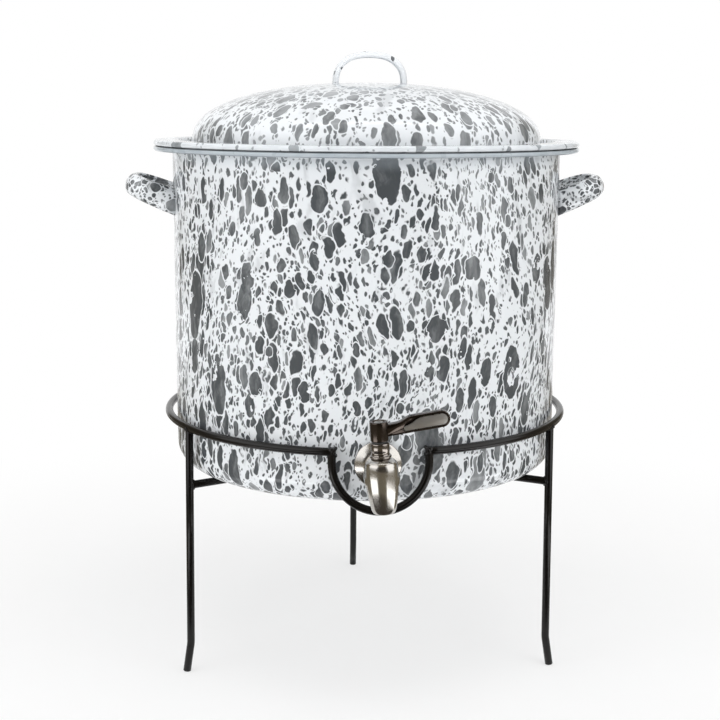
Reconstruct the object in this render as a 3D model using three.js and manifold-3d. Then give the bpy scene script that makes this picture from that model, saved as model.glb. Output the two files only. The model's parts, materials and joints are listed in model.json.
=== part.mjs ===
// Enamelled stock pot with a drinks tap, standing in a steel rod stand.
// Millimetres, +Z up. The pot's axis is x = y = 0, the tap faces -Y, and the feet stand on z = 0.

import * as THREE from "three";
import { mergeVertices } from "three/addons/utils/BufferGeometryUtils.js";
import Module from "manifold-3d";

const wasm = await Module();
wasm.setup();

// ---- sizes ---------------------------------------------------------------------------------

// stand, bent from one size of round rod
const ROD_DIAMETER = 6.35;
const RING_CLEARANCE = 3.6;
const RING_ABOVE_BASE = 43.8;
const LOOP_RADIUS = 36.8;
const LOOP_SHIFT = 2;
const LOOP_UPRIGHT = 8.5;
const LEG_SPREAD_DEGREES = 60.5;
const LEG_OUTSET_AT_KINK = 1.9;
const LEG_KINK_HEIGHT = 24;
const LEG_KINK_RADIUS = 28;
const FOOT_OUTSET = 6;
const ARM_REACH = 70;

// pot
const POT_DIAMETER = 320;
const POT_BASE_HEIGHT = 160.8;
const POT_HEIGHT = 264.2;
const POT_CORNER_RADIUS = 18;
const SHEET = 1.4;
const BRIM_REACH = 15.5;
const BRIM_BEND_RADIUS = 5;
const POT_ROLL_RADIUS = 1.9;

// lid
const DOME_INSET = 16;
const DOME_HEIGHT = 46.4;
const DOME_SQUARENESS = 2.2;
const LID_ROLL_RADIUS = 2.3;
const LOCATOR_DEPTH = 5;
const LOCATOR_BEND_RADIUS = 2.5;

// formed strap handles
const SIDE_STRAP_WIDTH = 20.5;
const SIDE_STRAP_CROWN_WIDTH = 17.6;
const SIDE_STRAP_DEPTH = 6.5;
const SIDE_HANDLE_REACH = 38.3;
const SIDE_HANDLE_SPAN = 70;
const SIDE_HANDLE_CORNER = 27;
const SIDE_HANDLE_DROP = 43.9;
const SIDE_HANDLE_TILT_DEGREES = 21.5;
const LID_STRAP_WIDTH = 14;
const LID_STRAP_DEPTH = 4.4;
const LID_HANDLE_RISE = 25.5;
const LID_HANDLE_SPAN = 62;
const LID_HANDLE_SQUARENESS = 2.4;
const LID_HANDLE_SHIFT = 2.6;
const STRAP_SHEET = 1.6;

// tap
const TAP_ABOVE_BASE = 34;
const TAP_REACH = 45;
const TAP_LEAN_DEGREES = 4;
const SHANK_RADIUS = 8;
const SHANK_INSIDE = 20;
const WATERWAY_RADIUS = 4;
const OUTLET_BORE_RADIUS = 4.5;
const PLUG_PORT_RADIUS = 3.6;
const FLANGE_RADIUS = 18;
const FLANGE_THICKNESS = 4.4;
const FLANGE_CROWN_RADIUS = 10.8;
const FLANGE_EDGE = 1;
const SEAL_RADIUS = 14.5;
const SEAL_THICKNESS = 2.6;
const WASHER_RADIUS = 15;
const WASHER_THICKNESS = 1.5;
const NUT_ACROSS_FLATS = 24;
const NUT_THICKNESS = 7;
const BARREL_RADIUS = 13;
const BARREL_HALF_LENGTH = 10;
const BARREL_FLATNESS = 0.7;
const NECK_RADIUS = 10.4;
const NECK_LENGTH = 9;
const SPOUT_RADIUS = 12.2;
const SPOUT_TOP = 16;
const SPOUT_LENGTH = 41.4;
const OUTLET_RADIUS = 5.7;
const CHAMBER_RADIUS = 6.2;
const CHAMBER_FLOOR = -11;
const COLLAR_RADIUS = 6.8;
const COLLAR_HEIGHT = 11.2;
const COLLAR_SPIGOT = 6;
const COLLAR_BEAD_RADIUS = 1.1;
const STEM_RADIUS = 3.2;
const DRIVE_SQUARE = 4.6;
const HUB_RADIUS = 6.6;
const HUB_HEIGHT = 14;
const GLIDE_THICKNESS = 0.9;
const LEVER_LENGTH = 51.4;
const LEVER_RISE_DEGREES = 5.6;
const LEVER_THICKNESS = 7;
const LEVER_NECK = 8.4;
const LEVER_PADDLE = 11.9;
const LEVER_SHOULDER = 11;
const PADDLE_START = 26;
const PANEL_START = 17.4;
const PANEL_START_HEIGHT = 4.2;
const PANEL_BORDER = 1.6;
const PANEL_DEPTH = 1.4;
const ORING_SECTION = 1.5;
const ORING_COVER = 1;
const SCREW_RADIUS = 1.5;
const SCREW_HEAD_RADIUS = 4.4;
const SCREW_HEAD_SINK = 2.4;
const SCREW_LENGTH = 6.6;
const SCREW_KEY_RADIUS = 1.4;

// clearances
const WELD_GAP = 0.3;
const REST_GAP = 0.3;
const SEAT_GAP = 0.3;
const RUNNING_GAP = 0.3;
const LOCATOR_GAP = 1.6;

// smoothness
const ROUND_STEPS = 40;
const ROD_STEPS = 12;
const SMALL_STEPS = 24;

// ---- sizes that follow ---------------------------------------------------------------------

const ROD_RADIUS = ROD_DIAMETER / 2;
const POT_RADIUS = POT_DIAMETER / 2;
const POT_RIM_HEIGHT = POT_BASE_HEIGHT + POT_HEIGHT;
const RIM_RADIUS = POT_RADIUS + BRIM_REACH;
const RING_RADIUS = POT_RADIUS + RING_CLEARANCE + ROD_RADIUS;
const RING_HEIGHT = POT_BASE_HEIGHT + RING_ABOVE_BASE;
const DOME_RADIUS = POT_RADIUS - DOME_INSET;
const SIDE_HANDLE_HEIGHT = POT_RIM_HEIGHT - SIDE_HANDLE_DROP;
const LID_EDGE_HEIGHT = POT_RIM_HEIGHT + REST_GAP;
const LID_FLANGE_HEIGHT = LID_EDGE_HEIGHT + 2 * LID_ROLL_RADIUS;
const ARM_HEIGHT = POT_BASE_HEIGHT - REST_GAP - ROD_RADIUS;
const TAP_HEIGHT = POT_BASE_HEIGHT + TAP_ABOVE_BASE;
const TAP_AXIS_Y = -(POT_RADIUS + TAP_REACH);
const COLLAR_FOOT = SPOUT_TOP + SEAT_GAP;
const COLLAR_TOP = COLLAR_FOOT + COLLAR_HEIGHT;
const HUB_FOOT = COLLAR_TOP + GLIDE_THICKNESS + 2 * RUNNING_GAP;
const HUB_TOP = HUB_FOOT + HUB_HEIGHT;

// ---- helpers -------------------------------------------------------------------------------

const radians = THREE.MathUtils.degToRad;
const degrees = THREE.MathUtils.radToDeg;

function finish(color, roughness, metalness) {
  return new THREE.MeshStandardMaterial({ color, roughness, metalness });
}

const enamel = () => finish(0xe9ebea, 0.15, 0);
const blackPaint = () => finish(0x1a1715, 0.35, 0.2);
const steel = () => finish(0xb9b4ac, 0.12, 1);
const silicone = () => finish(0xd8d8d4, 0.6, 0);
const nylon = () => finish(0x202022, 0.5, 0);

function named(name, geometry, material) {
  const mesh = new THREE.Mesh(geometry, material);
  mesh.name = name;
  return mesh;
}

// points of an arc in a profile, both ends included
function arc(x, y, radius, from, to, steps) {
  return Array.from({ length: steps + 1 }, (_, i) => {
    const angle = radians(from + ((to - from) * i) / steps);
    return [x + radius * Math.cos(angle), y + radius * Math.sin(angle)];
  });
}

// a profile of [radius, height] turned about +Z
function turned(profile, steps = ROUND_STEPS) {
  const points = profile.map(([r, h]) => new THREE.Vector2(r, h));
  return new THREE.LatheGeometry(points, steps).rotateX(Math.PI / 2);
}

// a plain disc or cylinder from one height to another
function cylinder(radius, from, to, steps = SMALL_STEPS) {
  return turned([[0, from], [radius, from], [radius, to], [0, to]], steps);
}

// a turned ring with small chamfers
function ring(inner, outer, from, to, chamfer = 0, steps = SMALL_STEPS) {
  const low = chamfer ? [[outer - chamfer, from], [outer, from + chamfer]] : [[outer, from]];
  const high = chamfer ? [[outer, to - chamfer], [outer - chamfer, to]] : [[outer, to]];
  return turned([[inner, from], ...low, ...high, [inner, to], [inner, from]], steps);
}

// a rod's or strap's path whose steps fall exactly on its stations
class Bend extends THREE.Curve {
  constructor(stations) {
    super();
    this.stations = stations.map((p) => new THREE.Vector3(...p));
  }

  getUtoTmapping(u) {
    return u;
  }

  getPoint(t, target = new THREE.Vector3()) {
    const last = this.stations.length - 1;
    const i = Math.min(Math.floor(t * last), last - 1);
    return target.lerpVectors(this.stations[i], this.stations[i + 1], t * last - i);
  }

  getTangent(t, target = new THREE.Vector3()) {
    const last = this.stations.length - 1;
    const i = Math.round(t * last);
    const here = this.stations[i];
    const back = this.stations[Math.max(i - 1, 0)];
    const ahead = this.stations[Math.min(i + 1, last)];
    const before = new THREE.Vector3().subVectors(here, back).normalize();
    const after = new THREE.Vector3().subVectors(ahead, here).normalize();
    return target.addVectors(before, after).normalize();
  }
}

function swept(stations, outline) {
  const path = new Bend(stations);
  const options = { extrudePath: path, steps: stations.length - 1, bevelEnabled: false };
  return new THREE.ExtrudeGeometry(outline, options);
}

function roundOutline(radius, steps = ROD_STEPS) {
  const points = arc(0, 0, radius, 0, 360 - 360 / steps, steps - 1);
  return new THREE.Shape(points.map(([x, y]) => new THREE.Vector2(x, y)));
}

function rod(stations, radius = ROD_RADIUS) {
  return swept(stations, roundOutline(radius));
}

function toSolid(geometry) {
  const bare = geometry.clone();
  bare.deleteAttribute("normal");
  bare.deleteAttribute("uv");
  const merged = mergeVertices(bare, 1e-4);
  const vertProperties = new Float32Array(merged.attributes.position.array);
  const triVerts = new Uint32Array(merged.index.array);
  return new wasm.Manifold(new wasm.Mesh({ numProp: 3, vertProperties, triVerts }));
}

function fromSolid(solid) {
  const { vertProperties, triVerts } = solid.getMesh();
  const geometry = new THREE.BufferGeometry();
  geometry.setAttribute("position", new THREE.BufferAttribute(new Float32Array(vertProperties), 3));
  geometry.setIndex(new THREE.BufferAttribute(new Uint32Array(triVerts), 1));
  geometry.computeVertexNormals();
  return geometry;
}

const joined = (a, ...others) => fromSolid(others.reduce((s, g) => s.add(toSolid(g)), toSolid(a)));
const cut = (a, ...others) => fromSolid(others.reduce((s, g) => s.subtract(toSolid(g)), toSolid(a)));
const common = (a, b) => fromSolid(toSolid(a).intersect(toSolid(b)));

// ---- stand ---------------------------------------------------------------------------------

const onRing = (arcLength, z, radius = RING_RADIUS) => {
  const angle = arcLength / RING_RADIUS;
  return [radius * Math.sin(angle), -radius * Math.cos(angle), z];
};

// the ring's rod from one upright of the loop, past each leg, round the back to the other upright
function ringCircuit(radius) {
  const round = 2 * Math.PI * RING_RADIUS;
  const spread = (round * LEG_SPREAD_DEGREES) / 360;
  const marks = [LOOP_SHIFT + LOOP_RADIUS, spread, round / 2, round - spread];
  marks.push(round + LOOP_SHIFT - LOOP_RADIUS);
  const stations = marks.slice(1).flatMap((mark, i) => {
    const steps = Math.round((ROUND_STEPS * (mark - marks[i])) / (round - 2 * LOOP_RADIUS));
    return Array.from({ length: steps }, (_, k) => marks[i] + ((mark - marks[i]) * k) / steps);
  });
  stations.push(marks.at(-1));
  return rod(stations.map((s) => onRing(s, RING_HEIGHT)), radius);
}

function ringRod() {
  const upright = cylinder(ROD_RADIUS + WELD_GAP, -4 * ROD_RADIUS, 4 * ROD_RADIUS, ROD_STEPS);
  const ends = [LOOP_SHIFT - LOOP_RADIUS, LOOP_SHIFT + LOOP_RADIUS];
  const copes = ends.map((s) => upright.clone().translate(...onRing(s, RING_HEIGHT)));
  return named("stand_ring", cut(ringCircuit(ROD_RADIUS), ...copes), blackPaint());
}

function tapLoop() {
  const top = RING_HEIGHT + ROD_RADIUS;
  const springing = RING_HEIGHT - LOOP_UPRIGHT;
  const bow = arc(0, springing, LOOP_RADIUS, 180, 360, 24);
  const line = [[-LOOP_RADIUS, top], ...bow, [LOOP_RADIUS, top]];
  return named("tap_loop", rod(line.map(([s, z]) => onRing(s + LOOP_SHIFT, z))), blackPaint());
}

// one leg in the plane y = 0, reaching below the floor until it is cut off level
function legRod(name, azimuth) {
  const splay = FOOT_OUTSET - LEG_OUTSET_AT_KINK;
  const slope = degrees(Math.atan2(splay, LEG_KINK_HEIGHT));
  const lean = degrees(Math.atan2(LEG_OUTSET_AT_KINK, RING_HEIGHT - LEG_KINK_HEIGHT));
  const run = LEG_KINK_RADIUS * Math.tan(radians((slope - lean) / 2));
  const centre = RING_RADIUS + LEG_OUTSET_AT_KINK + LEG_KINK_RADIUS;
  const kink = arc(centre, LEG_KINK_HEIGHT + run, LEG_KINK_RADIUS, 180 + lean, 180 + slope, 4);
  const below = [RING_RADIUS + FOOT_OUTSET + splay / 4, -LEG_KINK_HEIGHT / 4];
  const line = [[RING_RADIUS, RING_HEIGHT], ...kink, below];
  const rodBody = rod(line.map(([x, z]) => [x, 0, z]));
  const floor = new THREE.BoxGeometry(60, 60, 60).translate(RING_RADIUS, 0, -30);
  const ringSpace = ringCircuit(ROD_RADIUS + WELD_GAP).rotateZ(-radians(azimuth));
  const mesh = named(name, cut(rodBody, floor, ringSpace), blackPaint());
  mesh.rotation.z = radians(azimuth);
  return mesh;
}

// a short arm welded to the inside of a leg, with the pot's base resting on its end
function armRod(name, azimuth) {
  const inner = RING_RADIUS - ARM_REACH;
  const arm = rod([[inner, 0, ARM_HEIGHT], [RING_RADIUS, 0, ARM_HEIGHT]]);
  const outset = (LEG_OUTSET_AT_KINK * (RING_HEIGHT - ARM_HEIGHT)) / (RING_HEIGHT - LEG_KINK_HEIGHT);
  const leg = cylinder(ROD_RADIUS + WELD_GAP, -ROD_DIAMETER, ROD_DIAMETER, ROD_STEPS);
  leg.translate(RING_RADIUS + outset, 0, ARM_HEIGHT);
  const mesh = named(name, cut(arm, leg), blackPaint());
  mesh.rotation.z = radians(azimuth);
  return mesh;
}

function stand() {
  const group = new THREE.Group();
  group.add(ringRod(), tapLoop());
  const places = { left: -90 - LEG_SPREAD_DEGREES, right: -90 + LEG_SPREAD_DEGREES, rear: 90 };
  for (const [side, azimuth] of Object.entries(places)) {
    group.add(legRod(`leg_${side}`, azimuth), armRod(`arm_${side}`, azimuth));
  }
  return group;
}

// ---- pot -----------------------------------------------------------------------------------

// from the middle of the base out, up the wall, over the brim and round its rolled edge
function potShell() {
  const base = POT_BASE_HEIGHT;
  const cornerX = POT_RADIUS - POT_CORNER_RADIUS;
  const cornerZ = base + POT_CORNER_RADIUS;
  const corner = arc(cornerX, cornerZ, POT_CORNER_RADIUS, -90, 0, 7);
  const well = arc(cornerX, cornerZ, POT_CORNER_RADIUS - SHEET, 0, -90, 7);
  const bendX = POT_RADIUS + BRIM_BEND_RADIUS;
  const bendZ = POT_RIM_HEIGHT - SHEET - BRIM_BEND_RADIUS;
  const bend = arc(bendX, bendZ, BRIM_BEND_RADIUS, 180, 90, 5);
  const mouth = arc(bendX - SHEET, bendZ + SHEET, BRIM_BEND_RADIUS, 90, 180, 5);
  const rollZ = POT_RIM_HEIGHT - POT_ROLL_RADIUS;
  const roll = arc(RIM_RADIUS - POT_ROLL_RADIUS, rollZ, POT_ROLL_RADIUS, -90, 90, 6);
  const profile = [[0, base], ...corner, ...bend, ...roll, ...mouth, ...well, [0, base + SHEET]];
  const hole = cylinder(SHANK_RADIUS + RUNNING_GAP, 0, 2 * POT_RADIUS);
  hole.rotateX(Math.PI / 2).translate(0, 0, TAP_HEIGHT);
  return named("pot_shell", cut(turned(profile), hole), enamel());
}

// the wall's outside, grown by the weld gap, for cutting what is welded or pressed on to it
const wallSpace = (radius) => cylinder(radius, 0, 2 * POT_RIM_HEIGHT, ROUND_STEPS);

// a pressed strap's section: a shallow channel whose back bulges away from the hand
function strapOutline(width, depth) {
  const half = width / 2;
  const steps = 8;
  const outside = arc(0, 0, 1, 180, 360, steps).map(([x, y]) => [x * half, y * depth]);
  const hollow = arc(0, 0, 1, 360, 180, steps).map(([x, y]) => {
    return [x * (half - STRAP_SHEET), y * (depth - STRAP_SHEET)];
  });
  return new THREE.Shape([...outside, ...hollow].map(([x, y]) => new THREE.Vector2(x, y)));
}

// two legs and two round corners in the plane z = 0, opening towards -X
function strapLoop(root, reach, span, corner) {
  const half = span / 2;
  const first = arc(reach - corner, -half + corner, corner, -90, 0, 7);
  const second = arc(reach - corner, half - corner, corner, 0, 90, 7);
  return [[root, -half], ...first, ...second, [root, half]].map(([x, y]) => [x, y, 0]);
}

// narrows a strap evenly from full width at x = 0 to a share of it at its crown
function narrow(strap, reach, share) {
  const places = strap.attributes.position;
  for (let i = 0; i < places.count; i += 1) {
    const along = THREE.MathUtils.clamp(places.getX(i) / reach, 0, 1);
    places.setZ(i, places.getZ(i) * THREE.MathUtils.lerp(1, share, along));
  }
}

function sideHandle(name, azimuth) {
  const outline = strapOutline(SIDE_STRAP_WIDTH, SIDE_STRAP_DEPTH);
  const span = SIDE_HANDLE_SPAN - 2 * SIDE_STRAP_DEPTH;
  const reach = SIDE_HANDLE_REACH / Math.cos(radians(SIDE_HANDLE_TILT_DEGREES)) - SIDE_STRAP_DEPTH;
  const strap = swept(strapLoop(-12, reach, span, SIDE_HANDLE_CORNER - SIDE_STRAP_DEPTH), outline);
  narrow(strap, reach, SIDE_STRAP_CROWN_WIDTH / SIDE_STRAP_WIDTH);
  strap.rotateY(-radians(SIDE_HANDLE_TILT_DEGREES));
  strap.translate(POT_RADIUS, 0, SIDE_HANDLE_HEIGHT);
  const mesh = named(name, cut(strap, wallSpace(POT_RADIUS + WELD_GAP)), enamel());
  mesh.rotation.z = radians(azimuth);
  return mesh;
}

function pot() {
  const group = new THREE.Group();
  group.add(potShell(), sideHandle("side_handle_right", 0), sideHandle("side_handle_left", 180));
  return group;
}

// ---- lid -----------------------------------------------------------------------------------

// a quarter of a superellipse from its foot to its crown
function superArc(radius, foot, height, squareness, steps) {
  const power = 2 / squareness;
  return Array.from({ length: steps + 1 }, (_, i) => {
    const angle = ((Math.PI / 2) * i) / steps;
    const across = i === steps ? 0 : Math.cos(angle) ** power;
    return [radius * across, foot + height * Math.sin(angle) ** power];
  });
}

const domeLine = (radius, foot, height) => superArc(radius, foot, height, DOME_SQUARENESS, 11);

// the underside from the crown out to the rolled edge, then back over the top
function lidShell() {
  const foot = LID_FLANGE_HEIGHT;
  const under = foot - SHEET;
  const inner = domeLine(DOME_RADIUS - SHEET, under, DOME_HEIGHT).reverse();
  const outer = domeLine(DOME_RADIUS, foot, DOME_HEIGHT);
  const bendR = LOCATOR_BEND_RADIUS;
  const locatorOuter = POT_RADIUS - SHEET - LOCATOR_GAP;
  const low = under - LOCATOR_DEPTH;
  const dip = arc(locatorOuter - bendR - SHEET, low + bendR + SHEET, bendR + SHEET, -90, 0, 3);
  const dipTop = arc(locatorOuter - bendR - SHEET, low + bendR + SHEET, bendR, 0, -90, 3);
  const rollX = RIM_RADIUS - LID_ROLL_RADIUS;
  const roll = arc(rollX, foot - LID_ROLL_RADIUS, LID_ROLL_RADIUS, -90, 90, 6);
  const profile = [
    ...inner,
    [DOME_RADIUS - SHEET, low],
    ...dip,
    [locatorOuter, under],
    [rollX, under],
    ...roll,
    [locatorOuter - SHEET, foot],
    ...dipTop,
    [DOME_RADIUS, low + SHEET],
    ...outer,
  ];
  return named("lid_shell", turned(profile), enamel());
}

function lidHandle() {
  const rise = LID_HANDLE_RISE - LID_STRAP_DEPTH;
  const half = superArc(LID_HANDLE_SPAN / 2 - LID_STRAP_DEPTH, 0, rise, LID_HANDLE_SQUARENESS, 10);
  const arch = [...half, ...half.slice(0, -1).map(([x, z]) => [-x, z]).reverse()];
  const root = half[0][0];
  const line = [[root, -8], ...arch, [-root, -8]].map(([x, y]) => [x, y, 0]);
  const strap = swept(line, strapOutline(LID_STRAP_WIDTH, LID_STRAP_DEPTH)).rotateX(Math.PI / 2);
  strap.translate(LID_HANDLE_SHIFT, 0, LID_FLANGE_HEIGHT + DOME_HEIGHT);
  const grown = domeLine(DOME_RADIUS + WELD_GAP, LID_FLANGE_HEIGHT, DOME_HEIGHT + WELD_GAP);
  const domeSpace = turned([[0, LID_FLANGE_HEIGHT], ...grown]);
  return named("lid_handle", cut(strap, domeSpace), enamel());
}

function lid() {
  const group = new THREE.Group();
  group.add(lidShell(), lidHandle());
  return group;
}

// ---- tap, drawn about its valve axis with the shank at height 0 --------------------------------

const WALL_OUT = TAP_REACH;
const FLANGE_BACK = WALL_OUT - SEAT_GAP - SEAL_THICKNESS - SEAT_GAP;
const BARREL_BACK = FLANGE_BACK - FLANGE_THICKNESS - SEAT_GAP;
const INNER_FACE = WALL_OUT + SHEET + SEAT_GAP;
const WASHER_BACK = INNER_FACE + SEAL_THICKNESS + SEAT_GAP;
const NUT_BACK = WASHER_BACK + WASHER_THICKNESS + SEAT_GAP;

// a turned piece on the shank: its heights run from the valve axis back towards the pot
const onShank = (geometry) => geometry.rotateX(-Math.PI / 2);
const fromPot = (geometry) => {
  return geometry.translate(0, -TAP_AXIS_Y, -TAP_HEIGHT).rotateY(radians(TAP_LEAN_DEGREES));
};

// the spout's outline, as shares of its full radius and of its length
function spoutLine() {
  const bottom = SPOUT_TOP - SPOUT_LENGTH;
  const shares = [[0.77, 0.11], [0.85, 0.26], [0.94, 0.43], [0.99, 0.62], [1, 0.76], [0.97, 0.87], [0.88, 0.94]];
  const middle = shares.map(([r, h]) => [SPOUT_RADIUS * r, bottom + SPOUT_LENGTH * h]);
  const line = [[OUTLET_RADIUS, bottom], ...middle, [COLLAR_RADIUS + 0.4, SPOUT_TOP]];
  const flank = new THREE.SplineCurve(line.map(([r, h]) => new THREE.Vector2(r, h)));
  return flank.getPoints(14).map((p) => [p.x, p.y]);
}

function tapBody() {
  const bottom = SPOUT_TOP - SPOUT_LENGTH;
  const spout = turned([[0, bottom], ...spoutLine(), [0, SPOUT_TOP]], SMALL_STEPS);
  const nose = arc(0, 0, BARREL_RADIUS, -90, 0, 5).map(([r, h]) => [r, h * BARREL_FLATNESS]);
  const neck = [[BARREL_RADIUS, BARREL_HALF_LENGTH], [NECK_RADIUS, BARREL_BACK - NECK_LENGTH]];
  const end = INNER_FACE + SHANK_INSIDE;
  const shank = [[NECK_RADIUS, BARREL_BACK], [SHANK_RADIUS, BARREL_BACK], [SHANK_RADIUS, end], [0, end]];
  const barrel = onShank(turned([...nose, ...neck, ...shank], SMALL_STEPS));
  const waterway = onShank(cylinder(WATERWAY_RADIUS, 0, end + 1, 20));
  const chamber = cylinder(CHAMBER_RADIUS, CHAMBER_FLOOR, SPOUT_TOP + 1);
  const outlet = cylinder(OUTLET_BORE_RADIUS, bottom - 1, 0, 20);
  return named("tap_body", cut(joined(spout, barrel), waterway, chamber, outlet), steel());
}

function tapFlange() {
  const inner = SHANK_RADIUS + SEAT_GAP;
  const back = FLANGE_BACK - FLANGE_THICKNESS;
  const edge = FLANGE_BACK - FLANGE_EDGE;
  const profile = [[inner, back], [FLANGE_CROWN_RADIUS, back], [FLANGE_RADIUS, edge]];
  profile.push([FLANGE_RADIUS, FLANGE_BACK], [inner, FLANGE_BACK], [inner, back]);
  return named("tap_flange", onShank(turned(profile, SMALL_STEPS)), steel());
}

// the outer seal is pressed to the round wall, and the inner one to its hollow side
function outerSeal() {
  const front = FLANGE_BACK + SEAT_GAP;
  const disc = onShank(ring(SHANK_RADIUS + SEAT_GAP, SEAL_RADIUS, front, front + 2 * SEAL_THICKNESS));
  return named("outer_seal", cut(disc, fromPot(wallSpace(POT_RADIUS + SEAT_GAP))), silicone());
}

function innerSeal() {
  const disc = onShank(ring(SHANK_RADIUS + SEAT_GAP, SEAL_RADIUS, WALL_OUT, WASHER_BACK - SEAT_GAP));
  const hollow = fromPot(wallSpace(POT_RADIUS - SHEET - SEAT_GAP));
  return named("inner_seal", common(disc, hollow), silicone());
}

function shankWasher() {
  const far = WASHER_BACK + WASHER_THICKNESS;
  const disc = ring(SHANK_RADIUS + SEAT_GAP, WASHER_RADIUS, WASHER_BACK, far, WASHER_THICKNESS / 5);
  return named("shank_washer", onShank(disc), steel());
}

function shankNut() {
  const across = NUT_ACROSS_FLATS / Math.cos(Math.PI / 6) / 2;
  const hexagon = new THREE.CylinderGeometry(across, across, NUT_THICKNESS, 6);
  hexagon.translate(0, NUT_BACK + NUT_THICKNESS / 2, 0);
  const hole = onShank(cylinder(SHANK_RADIUS + RUNNING_GAP, 0, NUT_BACK + 2 * NUT_THICKNESS));
  return named("shank_nut", cut(hexagon, hole), steel());
}

// the collar screws into the spout's top and carries the stem
function tapCollar() {
  const spigot = CHAMBER_RADIUS - RUNNING_GAP;
  const bead = arc(COLLAR_RADIUS, COLLAR_FOOT + COLLAR_BEAD_RADIUS, COLLAR_BEAD_RADIUS, -90, 90, 4);
  const outside = [[spigot, COLLAR_FOOT - COLLAR_SPIGOT], [spigot, COLLAR_FOOT], ...bead];
  outside.push([COLLAR_RADIUS, COLLAR_TOP - 0.6], [COLLAR_RADIUS - 0.6, COLLAR_TOP]);
  const bore = STEM_RADIUS + RUNNING_GAP;
  const inside = [[bore, COLLAR_TOP], [bore, COLLAR_FOOT - COLLAR_SPIGOT]];
  const profile = [...outside, ...inside, outside[0]];
  return named("tap_collar", turned(profile, SMALL_STEPS), steel());
}

function leverGlide() {
  const foot = COLLAR_TOP + RUNNING_GAP;
  const disc = ring(STEM_RADIUS + RUNNING_GAP, COLLAR_RADIUS - 1, foot, foot + GLIDE_THICKNESS);
  return named("lever_glide", disc, nylon());
}

// the plug turns in the chamber; its side port faces away from the shank while the tap is shut
function valvePlug() {
  const radius = CHAMBER_RADIUS - RUNNING_GAP;
  const foot = CHAMBER_FLOOR + RUNNING_GAP;
  const top = COLLAR_FOOT - COLLAR_SPIGOT - RUNNING_GAP;
  const grooveRadius = radius - ORING_SECTION - RUNNING_GAP;
  const grooveHalf = ORING_SECTION / 2 + RUNNING_GAP;
  const groove = oringHeight();
  const [under, over] = [groove - grooveHalf, groove + grooveHalf];
  const outside = [[0, foot], [radius, foot], [radius, under], [grooveRadius, under]];
  outside.push([grooveRadius, over], [radius, over], [radius, top], [STEM_RADIUS, top]);
  outside.push([STEM_RADIUS, HUB_FOOT - RUNNING_GAP], [0, HUB_FOOT - RUNNING_GAP]);
  const drive = new THREE.BoxGeometry(DRIVE_SQUARE, DRIVE_SQUARE, HUB_HEIGHT * 0.6);
  drive.translate(0, 0, HUB_FOOT + HUB_HEIGHT * 0.25);
  const side = onShank(cylinder(PLUG_PORT_RADIUS, 0, 2 * radius, 20)).rotateZ(Math.PI / 2);
  const down = cylinder(PLUG_PORT_RADIUS, foot - 1, PLUG_PORT_RADIUS, 20);
  const tapped = cylinder(SCREW_RADIUS + RUNNING_GAP, HUB_FOOT, HUB_TOP, 16);
  const body = joined(turned(outside, SMALL_STEPS), drive);
  return named("valve_plug", cut(body, side, down, tapped), steel());
}

const oringHeight = () => COLLAR_FOOT - COLLAR_SPIGOT - RUNNING_GAP - ORING_SECTION - ORING_COVER;

function plugSeal() {
  const middle = CHAMBER_RADIUS - RUNNING_GAP - ORING_SECTION / 2;
  const torus = new THREE.TorusGeometry(middle, ORING_SECTION / 2, 10, SMALL_STEPS);
  return named("plug_seal", torus.translate(0, 0, oringHeight()), nylon());
}

// the paddle seen from the front: a straight lower edge, a slim neck and a round end
function leverOutline() {
  const low = -LEVER_NECK / 2;
  const high = low + LEVER_PADDLE;
  const tip = LEVER_PADDLE / 2;
  const tipX = LEVER_LENGTH - tip;
  const flare = (PADDLE_START - LEVER_SHOULDER) / 2;
  const shape = new THREE.Shape();
  shape.moveTo(0, low);
  shape.lineTo(tipX, low);
  shape.absarc(tipX, low + tip, tip, -Math.PI / 2, Math.PI / 2, false);
  shape.lineTo(PADDLE_START, high);
  shape.bezierCurveTo(PADDLE_START - flare, high, LEVER_SHOULDER + flare, -low, LEVER_SHOULDER, -low);
  shape.lineTo(0, -low);
  return shape;
}

// the paddle's panel, low at the neck and full height at the tip, grown all round by a margin
function panelOutline(margin) {
  const middle = (LEVER_PADDLE - LEVER_NECK) / 2;
  const half = LEVER_PADDLE / 2 - PANEL_BORDER + margin;
  const low = middle - half;
  const shoulder = low + PANEL_START_HEIGHT + margin;
  const left = PANEL_START - margin;
  const tipX = LEVER_LENGTH - LEVER_PADDLE / 2;
  const rise = (PADDLE_START - PANEL_START) / 2;
  const shape = new THREE.Shape();
  shape.moveTo(left + 2, low);
  shape.lineTo(tipX, low);
  shape.absarc(tipX, middle, half, -Math.PI / 2, Math.PI / 2, false);
  shape.lineTo(PADDLE_START + 2 * rise, middle + half);
  shape.bezierCurveTo(PADDLE_START, middle + half, PADDLE_START, shoulder + 1, left + 2, shoulder);
  shape.quadraticCurveTo(left, shoulder - 0.5, left, shoulder - 2);
  shape.quadraticCurveTo(left, low, left + 2, low);
  return shape;
}

// a flat shape stood up facing the front, from one depth to another
function plate(shape, from, to, bevel = 0) {
  const size = { bevelThickness: bevel, bevelSize: bevel, bevelOffset: -bevel, bevelSegments: 1 };
  const options = { depth: to - from - 2 * bevel, bevelEnabled: bevel > 0, curveSegments: 8, ...size };
  const body = new THREE.ExtrudeGeometry(shape, options).translate(0, 0, from + bevel);
  return body.rotateX(Math.PI / 2).rotateY(-radians(LEVER_RISE_DEGREES));
}

const leverMiddle = () => HUB_FOOT + HUB_HEIGHT / 2 - 0.3;

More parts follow.
